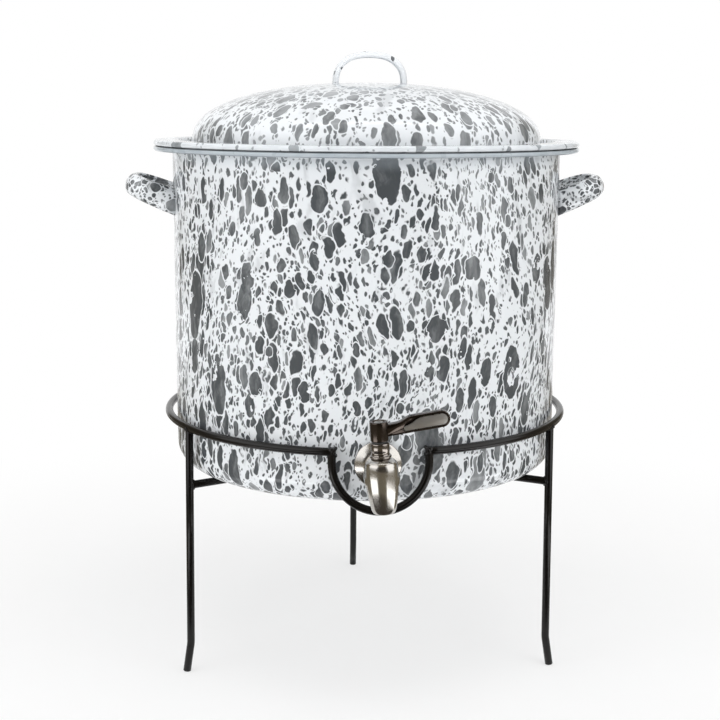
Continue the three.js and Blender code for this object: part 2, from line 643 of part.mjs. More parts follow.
function tapLever() {
  const half = LEVER_THICKNESS / 2;
  const paddle = plate(leverOutline(), -half, half, 0.7).translate(0, 0, leverMiddle());
  const chamfer = 0.8;
  const outside = [[0, HUB_FOOT], [HUB_RADIUS, HUB_FOOT], [HUB_RADIUS, HUB_TOP - chamfer]];
  const hub = turned([...outside, [HUB_RADIUS - chamfer, HUB_TOP], [0, HUB_TOP]], SMALL_STEPS);
  const square = DRIVE_SQUARE + 2 * RUNNING_GAP;
  const socket = new THREE.BoxGeometry(square, square, HUB_HEIGHT);
  socket.translate(0, 0, HUB_FOOT + HUB_HEIGHT * 0.58 - HUB_HEIGHT / 2);
  const screwWay = cylinder(SCREW_RADIUS + RUNNING_GAP, HUB_FOOT, HUB_TOP + 1, 16);
  const headWay = cylinder(SCREW_HEAD_RADIUS + RUNNING_GAP, HUB_TOP - SCREW_HEAD_SINK, HUB_TOP + 1, 24);
  const pocket = plate(panelOutline(SEAT_GAP), half - PANEL_DEPTH, half + 1);
  pocket.translate(0, 0, leverMiddle());
  const body = cut(joined(paddle, hub), socket, screwWay, headWay, pocket);
  return named("tap_lever", body, steel());
}

function leverPanel() {
  const half = LEVER_THICKNESS / 2;
  const panel = plate(panelOutline(0), half - PANEL_DEPTH + SEAT_GAP, half - 0.3, 0);
  return named("lever_panel", panel.translate(0, 0, leverMiddle()), finish(0x77777a, 0.35, 0.8));
}

function leverScrew() {
  const seat = HUB_TOP - SCREW_HEAD_SINK + RUNNING_GAP;
  const crown = seat + SCREW_HEAD_SINK - 2 * RUNNING_GAP;
  const shank = [[0, seat - SCREW_LENGTH], [SCREW_RADIUS, seat - SCREW_LENGTH], [SCREW_RADIUS, seat]];
  const side = [[SCREW_HEAD_RADIUS, seat], [SCREW_HEAD_RADIUS, (seat + crown) / 2]];
  const head = [...side, [SCREW_HEAD_RADIUS * 0.6, crown], [0, crown]];
  const key = new THREE.CylinderGeometry(SCREW_KEY_RADIUS, SCREW_KEY_RADIUS, SCREW_HEAD_SINK, 6);
  key.rotateX(Math.PI / 2).translate(0, 0, crown);
  return named("lever_screw", cut(turned([...shank, ...head], 16), key), steel());
}

function tap() {
  const group = new THREE.Group();
  group.add(tapBody(), tapFlange(), outerSeal(), innerSeal(), shankWasher(), shankNut());
  group.add(tapCollar(), leverGlide(), valvePlug(), plugSeal(), tapLever(), leverPanel(), leverScrew());
  group.position.set(0, TAP_AXIS_Y, TAP_HEIGHT);
  group.rotation.y = -radians(TAP_LEAN_DEGREES);
  return group;
}

// ---- whole -----------------------------------------------------------------------------------

// the frame's origin is the middle of the footprint between the spout's front and the rear foot
const FRONT_REACH = -TAP_AXIS_Y + SPOUT_RADIUS;
const REAR_REACH = Math.max(RIM_RADIUS, RING_RADIUS + FOOT_OUTSET + ROD_RADIUS);

const whole = new THREE.Group();
whole.name = "stock_pot";
whole.add(stand(), pot(), lid(), tap());
whole.position.y = (FRONT_REACH - REAR_REACH) / 2;

export default whole;
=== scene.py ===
# %% [markdown]
# # An enamelled stock pot with a drinks tap
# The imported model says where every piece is. This lesson loads it as a fixed frame and
# builds a finer surface over it: splattered enamel, painted rod and polished steel.

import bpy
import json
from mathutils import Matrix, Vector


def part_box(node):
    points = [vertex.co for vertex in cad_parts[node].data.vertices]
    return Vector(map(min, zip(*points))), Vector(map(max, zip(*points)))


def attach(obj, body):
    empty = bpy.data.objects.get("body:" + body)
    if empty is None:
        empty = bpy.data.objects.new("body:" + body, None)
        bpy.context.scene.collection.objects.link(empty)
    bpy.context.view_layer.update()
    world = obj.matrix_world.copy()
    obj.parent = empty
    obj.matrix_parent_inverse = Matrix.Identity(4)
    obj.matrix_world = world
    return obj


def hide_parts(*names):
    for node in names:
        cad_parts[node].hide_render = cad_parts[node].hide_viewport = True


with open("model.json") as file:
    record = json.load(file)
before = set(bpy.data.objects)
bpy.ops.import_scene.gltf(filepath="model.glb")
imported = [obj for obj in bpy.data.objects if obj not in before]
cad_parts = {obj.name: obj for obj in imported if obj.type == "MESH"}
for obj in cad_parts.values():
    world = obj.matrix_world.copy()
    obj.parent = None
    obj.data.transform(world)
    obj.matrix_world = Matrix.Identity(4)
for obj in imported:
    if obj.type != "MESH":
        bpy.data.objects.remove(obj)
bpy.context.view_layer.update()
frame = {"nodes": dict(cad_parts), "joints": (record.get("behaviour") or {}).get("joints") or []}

# %% [markdown]
# ## Places
# Everything round the pot is drawn about the pot's upright axis, so the first measurement is
# where that axis stands. The rim and base heights come from the pot's own box.

# %% Where the pot stands
import json
import math
import random

import bpy
import numpy as np
from mathutils import Matrix, Vector
from mathutils import noise as solid_noise

MM = 0.001
pot_low, pot_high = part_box("pot_shell")
AXIS = (pot_low + pot_high) / 2
BASE = pot_low.z
RIM = pot_high.z
RIM_RADIUS = (pot_high.x - pot_low.x) / 2
print("axis at y = %.4f, base %.4f, rim %.4f, rim radius %.4f" % (AXIS.y, BASE, RIM, RIM_RADIUS))

# %% [markdown]
# ## The camera
# A short telephoto a little above the rim, slightly left of the middle and turned to face the
# pot. It is made first, so that every later step can be looked at through it.

# %% Camera
CAMERA_PLACE = (-0.07222, AXIS.y - 1.14236, RIM + 0.03437)
CAMERA_PITCH = 10.691
CAMERA_TURN = -3.346
CAMERA_ROLL = -0.324
CAMERA_LENS = 67.9

camera = bpy.data.objects.new("camera", bpy.data.cameras.new("camera"))
bpy.context.scene.collection.objects.link(camera)
camera.data.sensor_width = 36
camera.data.lens = CAMERA_LENS
camera.location = CAMERA_PLACE
camera.rotation_euler = [math.radians(a) for a in (90 - CAMERA_PITCH, CAMERA_ROLL, CAMERA_TURN)]
bpy.context.scene.camera = camera

# %% [markdown]
# ## Shader sums as Python
# A finish is a graph of small nodes. Wrapping a socket in a class with the usual operators lets
# the graph be written as arithmetic, and one method makes every other kind of node.

# %% A socket that can be added and multiplied


class Wire:
    """One output socket of a finish, with arithmetic on it."""

    def __init__(self, finish, socket):
        self.finish = finish
        self.socket = socket

    def math(self, operation, *values):
        return self.finish.node("ShaderNodeMath", {"operation": operation}, *values)[0]

    def __add__(self, other):
        return self.math("ADD", self, other)

    def __sub__(self, other):
        return self.math("SUBTRACT", self, other)

    def __rsub__(self, other):
        return self.math("SUBTRACT", other, self)

    def __mul__(self, other):
        return self.math("MULTIPLY", self, other)

    def __truediv__(self, other):
        return self.math("DIVIDE", self, other)

    def __rtruediv__(self, other):
        return self.math("DIVIDE", other, self)

    def __lt__(self, other):
        return self.math("LESS_THAN", self, other)

    def __gt__(self, other):
        return self.math("GREATER_THAN", self, other)

    def __or__(self, other):
        return self.math("MAXIMUM", self, other)

    __radd__ = __add__
    __rmul__ = __mul__

    def step(self, start, end):
        """0 below start, 1 above end, and a smooth rise between them."""
        settings = {"interpolation_type": "SMOOTHSTEP"}
        values = {"Value": self, "From Min": start, "From Max": end}
        return self.finish.node("ShaderNodeMapRange", settings, **values)[0]


class Finish:
    """A material whose nodes are being written."""

    def __init__(self, name):
        self.material = bpy.data.materials.new(name)
        self.material.use_nodes = True
        self.tree = self.material.node_tree
        self.shader = self.tree.nodes["Principled BSDF"]

    def node(self, kind, settings=None, *values, **named):
        """A node of a kind: its settings first, then its sockets by place or by name."""
        made = self.tree.nodes.new(kind)
        for key, value in (settings or {}).items():
            setattr(made, key, value)
        pairs = list(zip(made.inputs, values))
        for key, value in named.items():
            word = key.replace("_", " ")
            socket = next(s for s in made.inputs if key == s.identifier or word == s.name)
            pairs.append((socket, value))
        for socket, value in pairs:
            self.feed(socket, value)
        return [Wire(self, s) for s in made.outputs if s.enabled]

    def feed(self, socket, value):
        if isinstance(value, Wire):
            self.tree.links.new(value.socket, socket)
        else:
            socket.default_value = value

    def surface(self, **named):
        for key, value in named.items():
            self.feed(self.shader.inputs[key.replace("_", " ")], value)
        return self.material

    def place(self):
        """The point's own place on the piece, in metres, in the frame of the whole object."""
        wires = self.node("ShaderNodeTexCoord")
        return next(w for w in wires if w.socket.name == "Object")

    def parts(self, vector):
        return self.node("ShaderNodeSeparateXYZ", None, vector)

    def vector(self, x, y, z):
        return self.node("ShaderNodeCombineXYZ", None, x, y, z)[0]

    def arrow(self, operation, *values):
        return self.node("ShaderNodeVectorMath", {"operation": operation}, *values)[0]

    def scaled(self, vector, factor):
        settings = {"operation": "SCALE"}
        return self.node("ShaderNodeVectorMath", settings, Vector=vector, Scale=factor)[0]

    def noise(self, vector, scale, detail=2.0, roughness=0.5):
        return self.node("ShaderNodeTexNoise", None, Vector=vector, Scale=scale,
                         Detail=detail, Roughness=roughness)

    def cells(self, vector, scale, feature="F1", randomness=1.0):
        return self.node("ShaderNodeTexVoronoi", {"feature": feature}, Vector=vector,
                         Scale=scale, Randomness=randomness)

    def blend(self, factor, first, second):
        settings = {"data_type": "RGBA"}
        named = {"Factor_Float": factor, "A_Color": first, "B_Color": second}
        return self.node("ShaderNodeMix", settings, **named)[0]

    def bump(self, height, depth, strength=1.0, under=None):
        named = {"Height": height, "Distance": depth, "Strength": strength}
        if under is not None:
            named["Normal"] = under
        return self.node("ShaderNodeBump", None, **named)[0]


def grey(value, warm=0.0):
    """A near-neutral colour, a little warm or a little cool."""
    return (value * (1 + warm), value, value * (1 - warm), 1.0)


# %% [markdown]
# ## Splattered enamel
# Enamelware like this is dipped white, then grey enamel is flicked on while it hangs, so the
# drops run a little downwards, and thin white veins stay where two of them almost meet. Drops
# are laid in two ways. The few large ones on the front are ellipses thrown by a seeded die, each
# at the roomiest of a few places. The many small ones come from cell noise, where each cell is
# a drop or bare ground, in sizes that lie over each other. One slow wandering of the whole
# field makes all their outlines uneven.

# %% Drops of one size
CORNER_BLEND = 0.10
FAR_OUTSIDE = 10


def drops(finish, field, scale, share, vein, radius):
    """How deep inside a drop each point is, in metres, and the drop's own random tone."""
    near = finish.cells(field, scale)
    edge = finish.cells(field, scale, "DISTANCE_TO_EDGE")[0]
    chance, size, tone = finish.parts(near[1])
    reach = radius * (0.55 + 0.45 * size)
    inside = edge.math("SMOOTH_MIN", edge - vein, reach - near[0], CORNER_BLEND)
    return (inside - (chance > share) * FAR_OUTSIDE) / scale, tone


def large_drops(finish, flat, table):
    """How deep inside one of the thrown drops each point is. flat is (across, up, 0), in metres."""
    deepest = -1.0
    for across, up, width, length, lean in table:
        turn, half = (0, 0, math.radians(-lean)), (width / 2, length / 2, 1)
        settings = {"vector_type": "TEXTURE"}
        inside = finish.node("ShaderNodeMapping", settings, flat, (across, up, 0), turn, half)[0]
        away = finish.node("ShaderNodeVectorMath", {"operation": "LENGTH"}, inside)[0]
        deepest = ((1 - away) * (width / 2)) | deepest
    return deepest


# %% Where the large drops fall
SPREAD_TRIES = 5
# turn and lean in degrees, along and widths in millimetres, ratios of length to width
WALL_THROW = {"seed": 11, "count": 62, "turn": 64, "along": (10, 250),
              "widths": (6.5, 21), "ratios": (1.3, 2.7), "lean": 14}
LID_THROW = {"seed": 4, "count": 16, "turn": 62, "along": (8, 50),
             "widths": (6.5, 13), "ratios": (1.8, 3.2), "lean": 6}


def flicked(throw, round_mm):
    """Drops thrown by a seeded die: degrees round, millimetres along, width, length and lean."""
    dice = random.Random(throw["seed"])
    rows = []
    for _ in range(throw["count"]):
        tries = [(dice.uniform(-throw["turn"], throw["turn"]), dice.uniform(*throw["along"]))
                 for _ in range(SPREAD_TRIES)]

        def room(place):
            gaps = [math.hypot((place[0] - row[0]) * round_mm, place[1] - row[1]) for row in rows]
            return min(gaps, default=0)

        # most drops are narrow: a cubed draw leaves few wide ones
        narrow, wide = throw["widths"]
        width = narrow + (wide - narrow) * dice.random() ** 3
        rows.append((*max(tries, key=room), width, width * dice.uniform(*throw["ratios"]),
                     dice.uniform(-throw["lean"], throw["lean"])))
    return rows


# %% The splatter and its finish
WHITE = (0.78, 0.805, 0.83, 1.0)
SLATE = (0.070, 0.077, 0.083, 1.0)
SLATE_PALE = (0.30, 0.315, 0.325, 1.0)
MIST = (0.50, 0.52, 0.54, 1.0)
# cells per metre, share of cells that hold a drop, vein, radius and stretch
DROP_SIZES = [
    (58.0, 0.36, 0.03, 0.46, 0.30),
    (90.0, 0.60, 0.03, 0.47, 0.34),
    (135.0, 0.74, 0.02, 0.49, 0.38),
    (205.0, 0.84, -0.02, 0.52, 0.46),
    (330.0, 0.84, -0.02, 0.52, 0.58),
]
VEIN = 0.0006
DROP_EDGE = 0.0005
VEIN_EDGE = 0.0004
VEINED_SIZES = 3
WANDER = 0.0080


def splatter(finish, mapping, place, thin, large, painted_light_wash):
    """The colour of the enamel, and where the drops are. Small drops thin out as thin nears 1."""
    crowd = finish.noise(mapping(finish, *place, 0.5), 11.0, detail=1.0)[0].step(0.30, 0.62)
    mask, shade, clear = 0.0, 0.0, 1.0
    if large is not None:
        large, front = large
        mask = large.step(0.0, DROP_EDGE)
        shade, clear = mask * 0.3, 1 - (large + VEIN).step(0.0, VEIN_EDGE)
    for number, (scale, share, vein, radius, stretch) in enumerate(DROP_SIZES):
        field = mapping(finish, *place, stretch)
        wanted = share * (0.66 + 0.70 * crowd)
        if thin is not None:
            wanted = wanted * (1 - thin)
        if number == 0 and large is not None:
            wanted = wanted * (1 - front)
        depth, tone = drops(finish, field, scale, wanted, vein, radius)
        shown = depth.step(0.0, DROP_EDGE) * clear
        mask = shown | mask
        shade = (shown * tone) | shade
        if number < VEINED_SIZES:
            clear = clear * (1 - (depth + VEIN).step(0.0, VEIN_EDGE))
    streaks = mapping(finish, *place, 0.3)
    streak = finish.noise(streaks, 150.0, detail=3.0, roughness=0.6)[0]
    mist = finish.noise(streaks, 75.0, detail=2.0)[0].step(0.58, 0.70) * 0.55
    haze = finish.noise(streaks, 16.0, detail=1.0)[0].step(0.52, 0.68)
    # The last term lifts the drops' tone as painted light, for a surface that gets more light and sheen.
    pale = shade.step(0.70, 1.0) * 0.45 + (streak - 0.5) * 1.5 + haze * 0.24 + painted_light_wash
    drop = finish.blend(pale.step(-0.12, 0.85), SLATE, SLATE_PALE)
    if thin is not None:
        mist = mist * (1 - thin)
    ground = finish.blend(mist, WHITE, MIST)
    return finish.blend(mask, ground, drop), mask


def enamel(name, mapping, thin=None, large=None, edge=None, painted_light_wash=0.0):
    """Glossy enamel whose splatter lies in the field that mapping gives."""
    finish = Finish(name)
    place = finish.place()
    wander = finish.arrow("SUBTRACT", finish.noise(place, 85.0)[1], (0.5, 0.5, 0.5))
    uneven = finish.arrow("ADD", place, finish.scaled(wander, WANDER))
    x, y, z = finish.parts(finish.arrow("SUBTRACT", uneven, (AXIS.x, AXIS.y, 0.0)))
    thinned = thin(finish, x, y, z) if thin else None
    thrown = large(finish, x, y, z) if large else None
    colour, mask = splatter(finish, mapping, (x, y, z), thinned, thrown, painted_light_wash)
    ripple = finish.noise(place, 90.0, detail=2.0)[0]
    if edge:
        for share, tone in edge(finish, *finish.parts(place), ripple):
            colour = finish.blend(share, colour, tone)
    peel = finish.noise(place, 900.0, detail=1.0)[0]
    height = ripple * 0.9 + peel * 0.06
    return finish.surface(Base_Color=colour, Roughness=0.08 + ripple * 0.06 + mask * 0.04,
                          Normal=finish.bump(height, 0.00012, 0.6), IOR=1.5)


# %% Fields and bare edges
LEAN = 0.10


def leaning(finish, x, y, z):
    """How far a run of enamel has wandered sideways at each height, in metres."""
    return (finish.noise(finish.vector(x, y, z), 5.0, detail=1.0)[0] - 0.5) * z * LEAN * 4


def wall_field(finish, x, y, z, stretch):
    lean = leaning(finish, x, y, z)
    return finish.vector(x + lean, y + lean, z * stretch)


def reach_of(finish, x, y):
    return finish.node("ShaderNodeMath", {"operation": "SQRT"}, x * x + y * y)[0]


def round_from_front(finish, x, y):
    return finish.node("ShaderNodeMath", {"operation": "ARCTAN2"}, x, y * -1)[0]


CROWN_REACH = 0.030


def lid_field(finish, x, y, z, stretch):
    """Drops drawn out away from the crown, but not within CROWN_REACH of it."""
    reach = reach_of(finish, x, y) | CROWN_REACH
    drawn = (reach * (0.35 + stretch * 0.65) + 0.10 * (0.65 - stretch * 0.65)) / reach
    return finish.vector(x * drawn, y * drawn, z * stretch)


# distances from the axis between which the drops thin out
WALL_THINS = (0.1605, 0.1635)
EDGE_THINS = (0.1475, 0.158)
DOME_THINS = (0.118, 0.136)


def rim_share(finish, x, y, z):
    """Thins the splatter on the rolled rim."""
    return reach_of(finish, x, y).step(*WALL_THINS) * 0.8


def lid_edge_share(finish, x, y, z):
    """Thins the splatter on the lid's flat edge, and a little on the steep foot of its dome."""
    reach = reach_of(finish, x, y)
    return reach.step(*EDGE_THINS) * 0.8 | reach.step(*DOME_THINS) * 0.24


FRONT = math.radians(64)
WALL_ROUND = 0.160
WALL_STOPS = (0.1605, 0.1625)
DOME_ROUND = 0.144
DOME_STOPS = (0.1445, 0.147)
DOME_MEAN = 0.130
DOME_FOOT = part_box("lid_shell")[1].z - 0.0464
NO_DROP = 0.02
wall_drops = flicked(WALL_THROW, math.radians(WALL_ROUND / MM))
lid_drops = flicked(LID_THROW, math.radians(DOME_MEAN / MM))


def in_front(turn):
    """1 in the middle of the part where large drops are thrown, and 0 beyond it."""
    return 1 - turn.math("ABSOLUTE", turn).step(FRONT * 0.6, FRONT)


def wall_large(finish, x, y, z):
    turn = round_from_front(finish, x, y)
    flat = finish.vector(turn * WALL_ROUND, z, 0.0)
    table = [(math.radians(turn) * WALL_ROUND, RIM - down * MM, width * MM, length * MM, lean)
             for turn, down, width, length, lean in wall_drops]
    beyond = reach_of(finish, x, y).step(*WALL_STOPS)
    deep = large_drops(finish, flat, table) - beyond * NO_DROP
    return deep, in_front(turn) * z.step(BASE + 0.03, BASE + 0.06)


def lid_large(finish, x, y, z):
    turn = round_from_front(finish, x, y)
    along = z - DOME_FOOT + DOME_ROUND - reach_of(finish, x, y)
    flat = finish.vector(turn * DOME_MEAN, along, 0.0)
    table = [(math.radians(turn) * DOME_MEAN, inward * MM, width * MM, length * MM, lean)
             for turn, inward, width, length, lean in lid_drops]
    beyond = reach_of(finish, x, y).step(*DOME_STOPS)
    deep = large_drops(finish, flat, table) - beyond * NO_DROP
    return deep, in_front(turn) * (1 - along.step(0.030, 0.045))


# %% [markdown]
# Enamel pulls thin over a rolled edge and lets the dark first coat through, so both rolls look
# blue-grey, partly from that and partly as painted shade. Painted shade also darkens the brim's
# underside and the wall just under it, the underside of the pot's roll, and the seam between pot
# and lid. The crown turns a little grey.

# %% Rolled edges and painted shade
# The blue-grey tone below is partly thin enamel on the rolls and partly painted shade, and it also
# paints the shadow under the brim; the dark tone after it is painted shade under the pot's roll and in
# the seam.
EDGE_TONE = (0.40, 0.45, 0.49, 1.0)
PAINTED_SHADE_TONE = (0.045, 0.050, 0.055, 1.0)
SEAM = RIM + 0.15 * MM
# distances from the axis, or from the rim or the dome's foot, between which a tone sets in
BRIM_SHADE_OUT = (0.1604, 0.1650)
POT_ROLL_OUT = (0.1655, 0.1668)
SEAM_OUT = (0.163, 0.166)
UNDERSIDE_OUT = (0.170, 0.173)
LID_ROLL_OUT = (0.1672, 0.1690)
BRIM_SHADOW_UP = (-0.016, -0.004)
UNDERSIDE_DOWN = (0.0028, 0.0036)
CROWN_UP = (0.026, 0.044)
POT_SEAM_UP = (-0.0009, -0.0003)
LID_SEAM_DOWN = (-0.0012, -0.0004)


def from_axis(finish, x, y):
    return reach_of(finish, x, y - AXIS.y)


def pot_edge(finish, x, y, z, ripple):
    out = from_axis(finish, x, y)
    # the roll's blue-grey: partly thin enamel, partly painted shade
    roll = out.step(*POT_ROLL_OUT) * (0.55 + ripple * 0.7)
    # painted shadow on the brim's underside bend and on the wall just under the brim
    neck = out.step(*BRIM_SHADE_OUT) * 0.4 | (z - RIM).step(*BRIM_SHADOW_UP) * 0.35
    # painted shade in the seam between pot and lid
    seam = (z - SEAM).step(*POT_SEAM_UP) * out.step(*SEAM_OUT) * (0.5 + ripple * 0.5)
    # painted shade on the underside of the pot's roll
    under = (RIM - z).step(*UNDERSIDE_DOWN) * out.step(*UNDERSIDE_OUT) * 0.5
    return (neck, EDGE_TONE), (roll, EDGE_TONE), (under, PAINTED_SHADE_TONE), (seam, PAINTED_SHADE_TONE)


def lid_edge(finish, x, y, z, ripple):
    out = from_axis(finish, x, y)
    # the lid roll's blue-grey: partly thin enamel, partly painted shade
    roll = out.step(*LID_ROLL_OUT) * (ripple * 0.5)
    # painted shade in the seam, on the lid's side
    seam = (SEAM - z).step(*LID_SEAM_DOWN) * out.step(*SEAM_OUT) * (0.35 + ripple * 0.5)
    crown = (z - DOME_FOOT).step(*CROWN_UP) * (0.15 + ripple * 0.16)
    return (roll, EDGE_TONE), (crown, EDGE_TONE), (seam, PAINTED_SHADE_TONE)


wall_enamel = enamel("enamel_wall", wall_field, rim_share, wall_large, pot_edge)
# The lid's drops are painted paler, as painted light for the stronger light and sheen on the lid.
lid_enamel = enamel("enamel_lid", lid_field, lid_edge_share, lid_large, lid_edge, painted_light_wash=0.42)
print("large drops: %d on the wall, %d on the lid" % (len(wall_drops), len(lid_drops)))


# %% [markdown]
# The inside is dipped white without splatter. Only a few specks reach it.

# %% Plain enamel for the inside


def plain_enamel():
    finish = Finish("enamel_inside")
    place = finish.place()
    cloud = finish.noise(place, 30.0, detail=3.0)[0]
    speck = finish.cells(place, 160.0)
    chance = finish.parts(speck[1])[0]
    dot = (0.22 - speck[0]).step(0.0, 0.05) * (chance < 0.04)
    ground = finish.blend(cloud, grey(0.74, -0.02), grey(0.82, -0.02))
    return finish.surface(Base_Color=finish.blend(dot, ground, SLATE), Roughness=0.10 + cloud * 0.08,
                          Normal=finish.bump(finish.noise(place, 60.0)[0], 0.0003, 0.4), IOR=1.5)


inside_enamel = plain_enamel()

# %% [markdown]
# ## Painted rod and polished steel
# The stand is dipped in black paint that keeps a soft gloss and a faint brown warmth. The tap
# is cast and polished stainless, so nearly all of its look is what it reflects; the finish only
# adds fine polishing marks and slow waves. The collar, lever and hub are darker copies of that
# steel, as painted shade standing in for the dark surroundings they reflect.

# %% Paint, steel, silicone and nylon


def black_paint():
    finish = Finish("black_rod_paint")
    place = finish.place()
    mottle = finish.noise(place, 220.0, detail=4.0, roughness=0.65)[0]
    wave = finish.noise(place, 45.0, detail=2.0)[0]
    colour = finish.blend(mottle, (0.0018, 0.0015, 0.0013, 1), (0.0062, 0.0050, 0.0043, 1))
    height = mottle * 0.5 + wave
    finish.shader.inputs["Specular IOR Level"].default_value = 0.32
    return finish.surface(Base_Color=colour, Roughness=0.13 + mottle * 0.13,
                          Normal=finish.bump(height, 0.00025, 0.5), IOR=1.5)


def stainless(name, tint, rough, brushed=0.0):
    finish = Finish(name)
    place = finish.place()
    wave = finish.noise(place, 70.0, detail=2.0)[0]
    x, y, z = finish.parts(place)
    marks = finish.noise(finish.vector(x * 900, y * 900, z * 90), 1.0, detail=3.0)[0]
    colour = finish.blend(wave, tint, tuple(c * 0.86 for c in tint[:3]) + (1.0,))
    height = wave * 0.3 + marks * brushed
    return finish.surface(Base_Color=colour, Metallic=1.0, Roughness=rough + marks * rough * 0.6,
                          Normal=finish.bump(height, 0.0002, 0.25))


def rubbery(name, colour, rough):
    finish = Finish(name)
    place = finish.place()
    grain = finish.noise(place, 1500.0, detail=3.0)[0]
    tone = finish.noise(place, 120.0, detail=2.0)[0]
    dark = tuple(c * 0.8 for c in colour[:3]) + (1.0,)
    return finish.surface(Base_Color=finish.blend(tone, dark, colour), Roughness=rough - grain * 0.1,
                          Normal=finish.bump(grain, 0.00008, 0.4))


rod_paint = black_paint()
tap_steel = stainless("tap_steel", (0.60, 0.578, 0.545, 1.0), 0.15)
# Painted shade: darker copies of the tap's steel for the collar, lever and hub, standing in for the dark
# surroundings they reflect.
shaded_collar_steel = stainless("shaded_collar_steel", (0.30, 0.272, 0.25, 1.0), 0.13)
shaded_dark_steel = stainless("shaded_lever_steel", (0.095, 0.078, 0.068, 1.0), 0.13)
panel_steel = stainless("panel_satin", (0.64, 0.63, 0.615, 1.0), 0.32, brushed=0.6)
nut_steel = stainless("nut_steel", (0.55, 0.54, 0.52, 1.0), 0.22, brushed=0.3)
seal_silicone = rubbery("seal_silicone", (0.62, 0.62, 0.60, 1.0), 0.55)
plug_nylon = rubbery("plug_nylon", (0.03, 0.03, 0.032, 1.0), 0.45)

# %% [markdown]
# ## Turning and sweeping
# Most of this object is either turned about an axis or a section swept along a bent path. Two
# helpers make those meshes from lists of points, one ring of vertices at a time.

# %% Mesh helpers


def piece(name, vertices, faces, materials, body, slot, replaces=(), face_material=None):
    """A smooth mesh that rides on a body and stands for some nodes."""
    mesh = bpy.data.meshes.new(name)
    mesh.from_pydata([tuple(v) for v in vertices], [], faces)
    mesh.validate()
    for material in materials if isinstance(materials, list) else [materials]:
        mesh.materials.append(material)
    mesh.shade_smooth()
    if face_material is not None:
        mesh.polygons.foreach_set("material_index", np.array(face_material, dtype=np.int32))
    made = bpy.data.objects.new(name, mesh)
    bpy.context.scene.collection.objects.link(made)
    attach(made, body)
    if replaces:
        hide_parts(*replaces)
    return made


def lathe(profile, steps):
    """Vertices and faces of a profile of (radius, height) turned about +Z. Radius 0 makes a pole."""
    vertices, rings = [], []
    for radius, height in profile:
        if radius < 1e-9:
            rings.append([len(vertices)] * steps)
            vertices.append((0.0, 0.0, height))
            continue
        rings.append(list(range(len(vertices), len(vertices) + steps)))
        for k in range(steps):
            a = 2 * math.pi * k / steps
            vertices.append((radius * math.cos(a), radius * math.sin(a), height))
    faces, rows = [], []
    for row, (low, high) in enumerate(zip(rings, rings[1:])):
        for k in range(steps):
            n = (k + 1) % steps
            face = []
            for v in (low[k], low[n], high[n], high[k]):
                if v not in face:
                    face.append(v)
            if len(face) > 2:
                faces.append(face)
                rows.append(row)
    return vertices, faces, rows


def sweep(path, sections, closed=False):
    """Vertices and faces of a section carried along a path. sections gives each station's own points."""
    vertices, count = [], len(sections[0])
    for points in sections:
        vertices.extend(points)
    faces = []
    last = len(path) if closed else len(path) - 1
    for i in range(last):
        a, b = i * count, ((i + 1) % len(path)) * count
        for k in range(count):
            n = (k + 1) % count
            faces.append((a + k, a + n, b + n, b + k))
    if not closed:
        faces.append(tuple(range(count))[::-1])
        faces.append(tuple(range((len(path) - 1) * count, len(path) * count)))
    return vertices, faces


def arc(x, y, radius, start, end, steps):
    turns = [math.radians(start + (end - start) * i / steps) for i in range(steps + 1)]
    return [(x + radius * math.cos(a), y + radius * math.sin(a)) for a in turns]


def at_axis(vertices):
    return [(v[0] + AXIS.x, v[1] + AXIS.y, v[2]) for v in vertices]


# %% [markdown]
# ## The pot
# A drawn steel shell: flat base, rounded corner, straight wall, and a brim that is bent out and
# rolled over at its edge. The profile runs up the outside and down the inside, so the same mesh
# carries the splattered outside and the plain white inside as two materials.

# %% Pot shell
WALL_RADIUS = 160 * MM
SHEET = 1.4 * MM
CORNER = 18 * MM
BRIM_BEND = 5 * MM
POT_ROLL = 1.9 * MM
MOUTH_ROWS = 6


def pot_profile():
    corner_x, corner_z = WALL_RADIUS - CORNER, BASE + CORNER
    corner = arc(corner_x, corner_z, CORNER, -90, 0, 18)
    well = arc(corner_x, corner_z, CORNER - SHEET, 0, -90, 18)
    bend_x, bend_z = WALL_RADIUS + BRIM_BEND, RIM - SHEET - BRIM_BEND
    bend = arc(bend_x, bend_z, BRIM_BEND, 180, 90, 10)
    mouth = arc(bend_x - SHEET, bend_z + SHEET, BRIM_BEND, 90, 180, 10)
    roll = arc(RIM_RADIUS - POT_ROLL, RIM - POT_ROLL, POT_ROLL, -90, 90, 12)
    wall = [(WALL_RADIUS, corner_z + (bend_z - corner_z) * i / 8) for i in range(1, 8)]
    outside = [(0, BASE), (corner_x * 0.5, BASE)] + corner + wall + bend + roll
    inside = mouth + well + [(corner_x * 0.5, BASE + SHEET), (0, BASE + SHEET)]
    return outside + inside, len(outside)


profile, outside_count = pot_profile()
vertices, faces, rows = lathe(profile, 160)
piece("pot_enamel", at_axis(vertices), faces, [wall_enamel, inside_enamel], "pot", "enamel",
      ["pot_shell"], [0 if row < outside_count + MOUTH_ROWS else 1 for row in rows])
print("pot faces:", len(faces))

# %% [markdown]
# ## The lid
# A domed pressing. Its section is a superellipse, fuller than a circle; round its foot a narrow
# channel drops into the pot's mouth and the edge is rolled under.

# %% Lid shell
LID_ROLL = 2.3 * MM
LID_EDGE = RIM + 0.3 * MM
LID_FOOT = LID_EDGE + 2 * LID_ROLL
DOME_RADIUS = WALL_RADIUS - 16 * MM
DOME_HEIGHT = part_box("lid_shell")[1].z - LID_FOOT
DOME_SQUARENESS = 2.2
CHANNEL_DEPTH = 5 * MM
CHANNEL_BEND = 2.5 * MM


def super_arc(radius, foot, height, squareness, steps):
    power = 2 / squareness
    line = []
    for i in range(steps + 1):
        a = math.pi / 2 * i / steps
        line.append((0.0 if i == steps else radius * math.cos(a) ** power,
                     foot + height * math.sin(a) ** power))
    return line


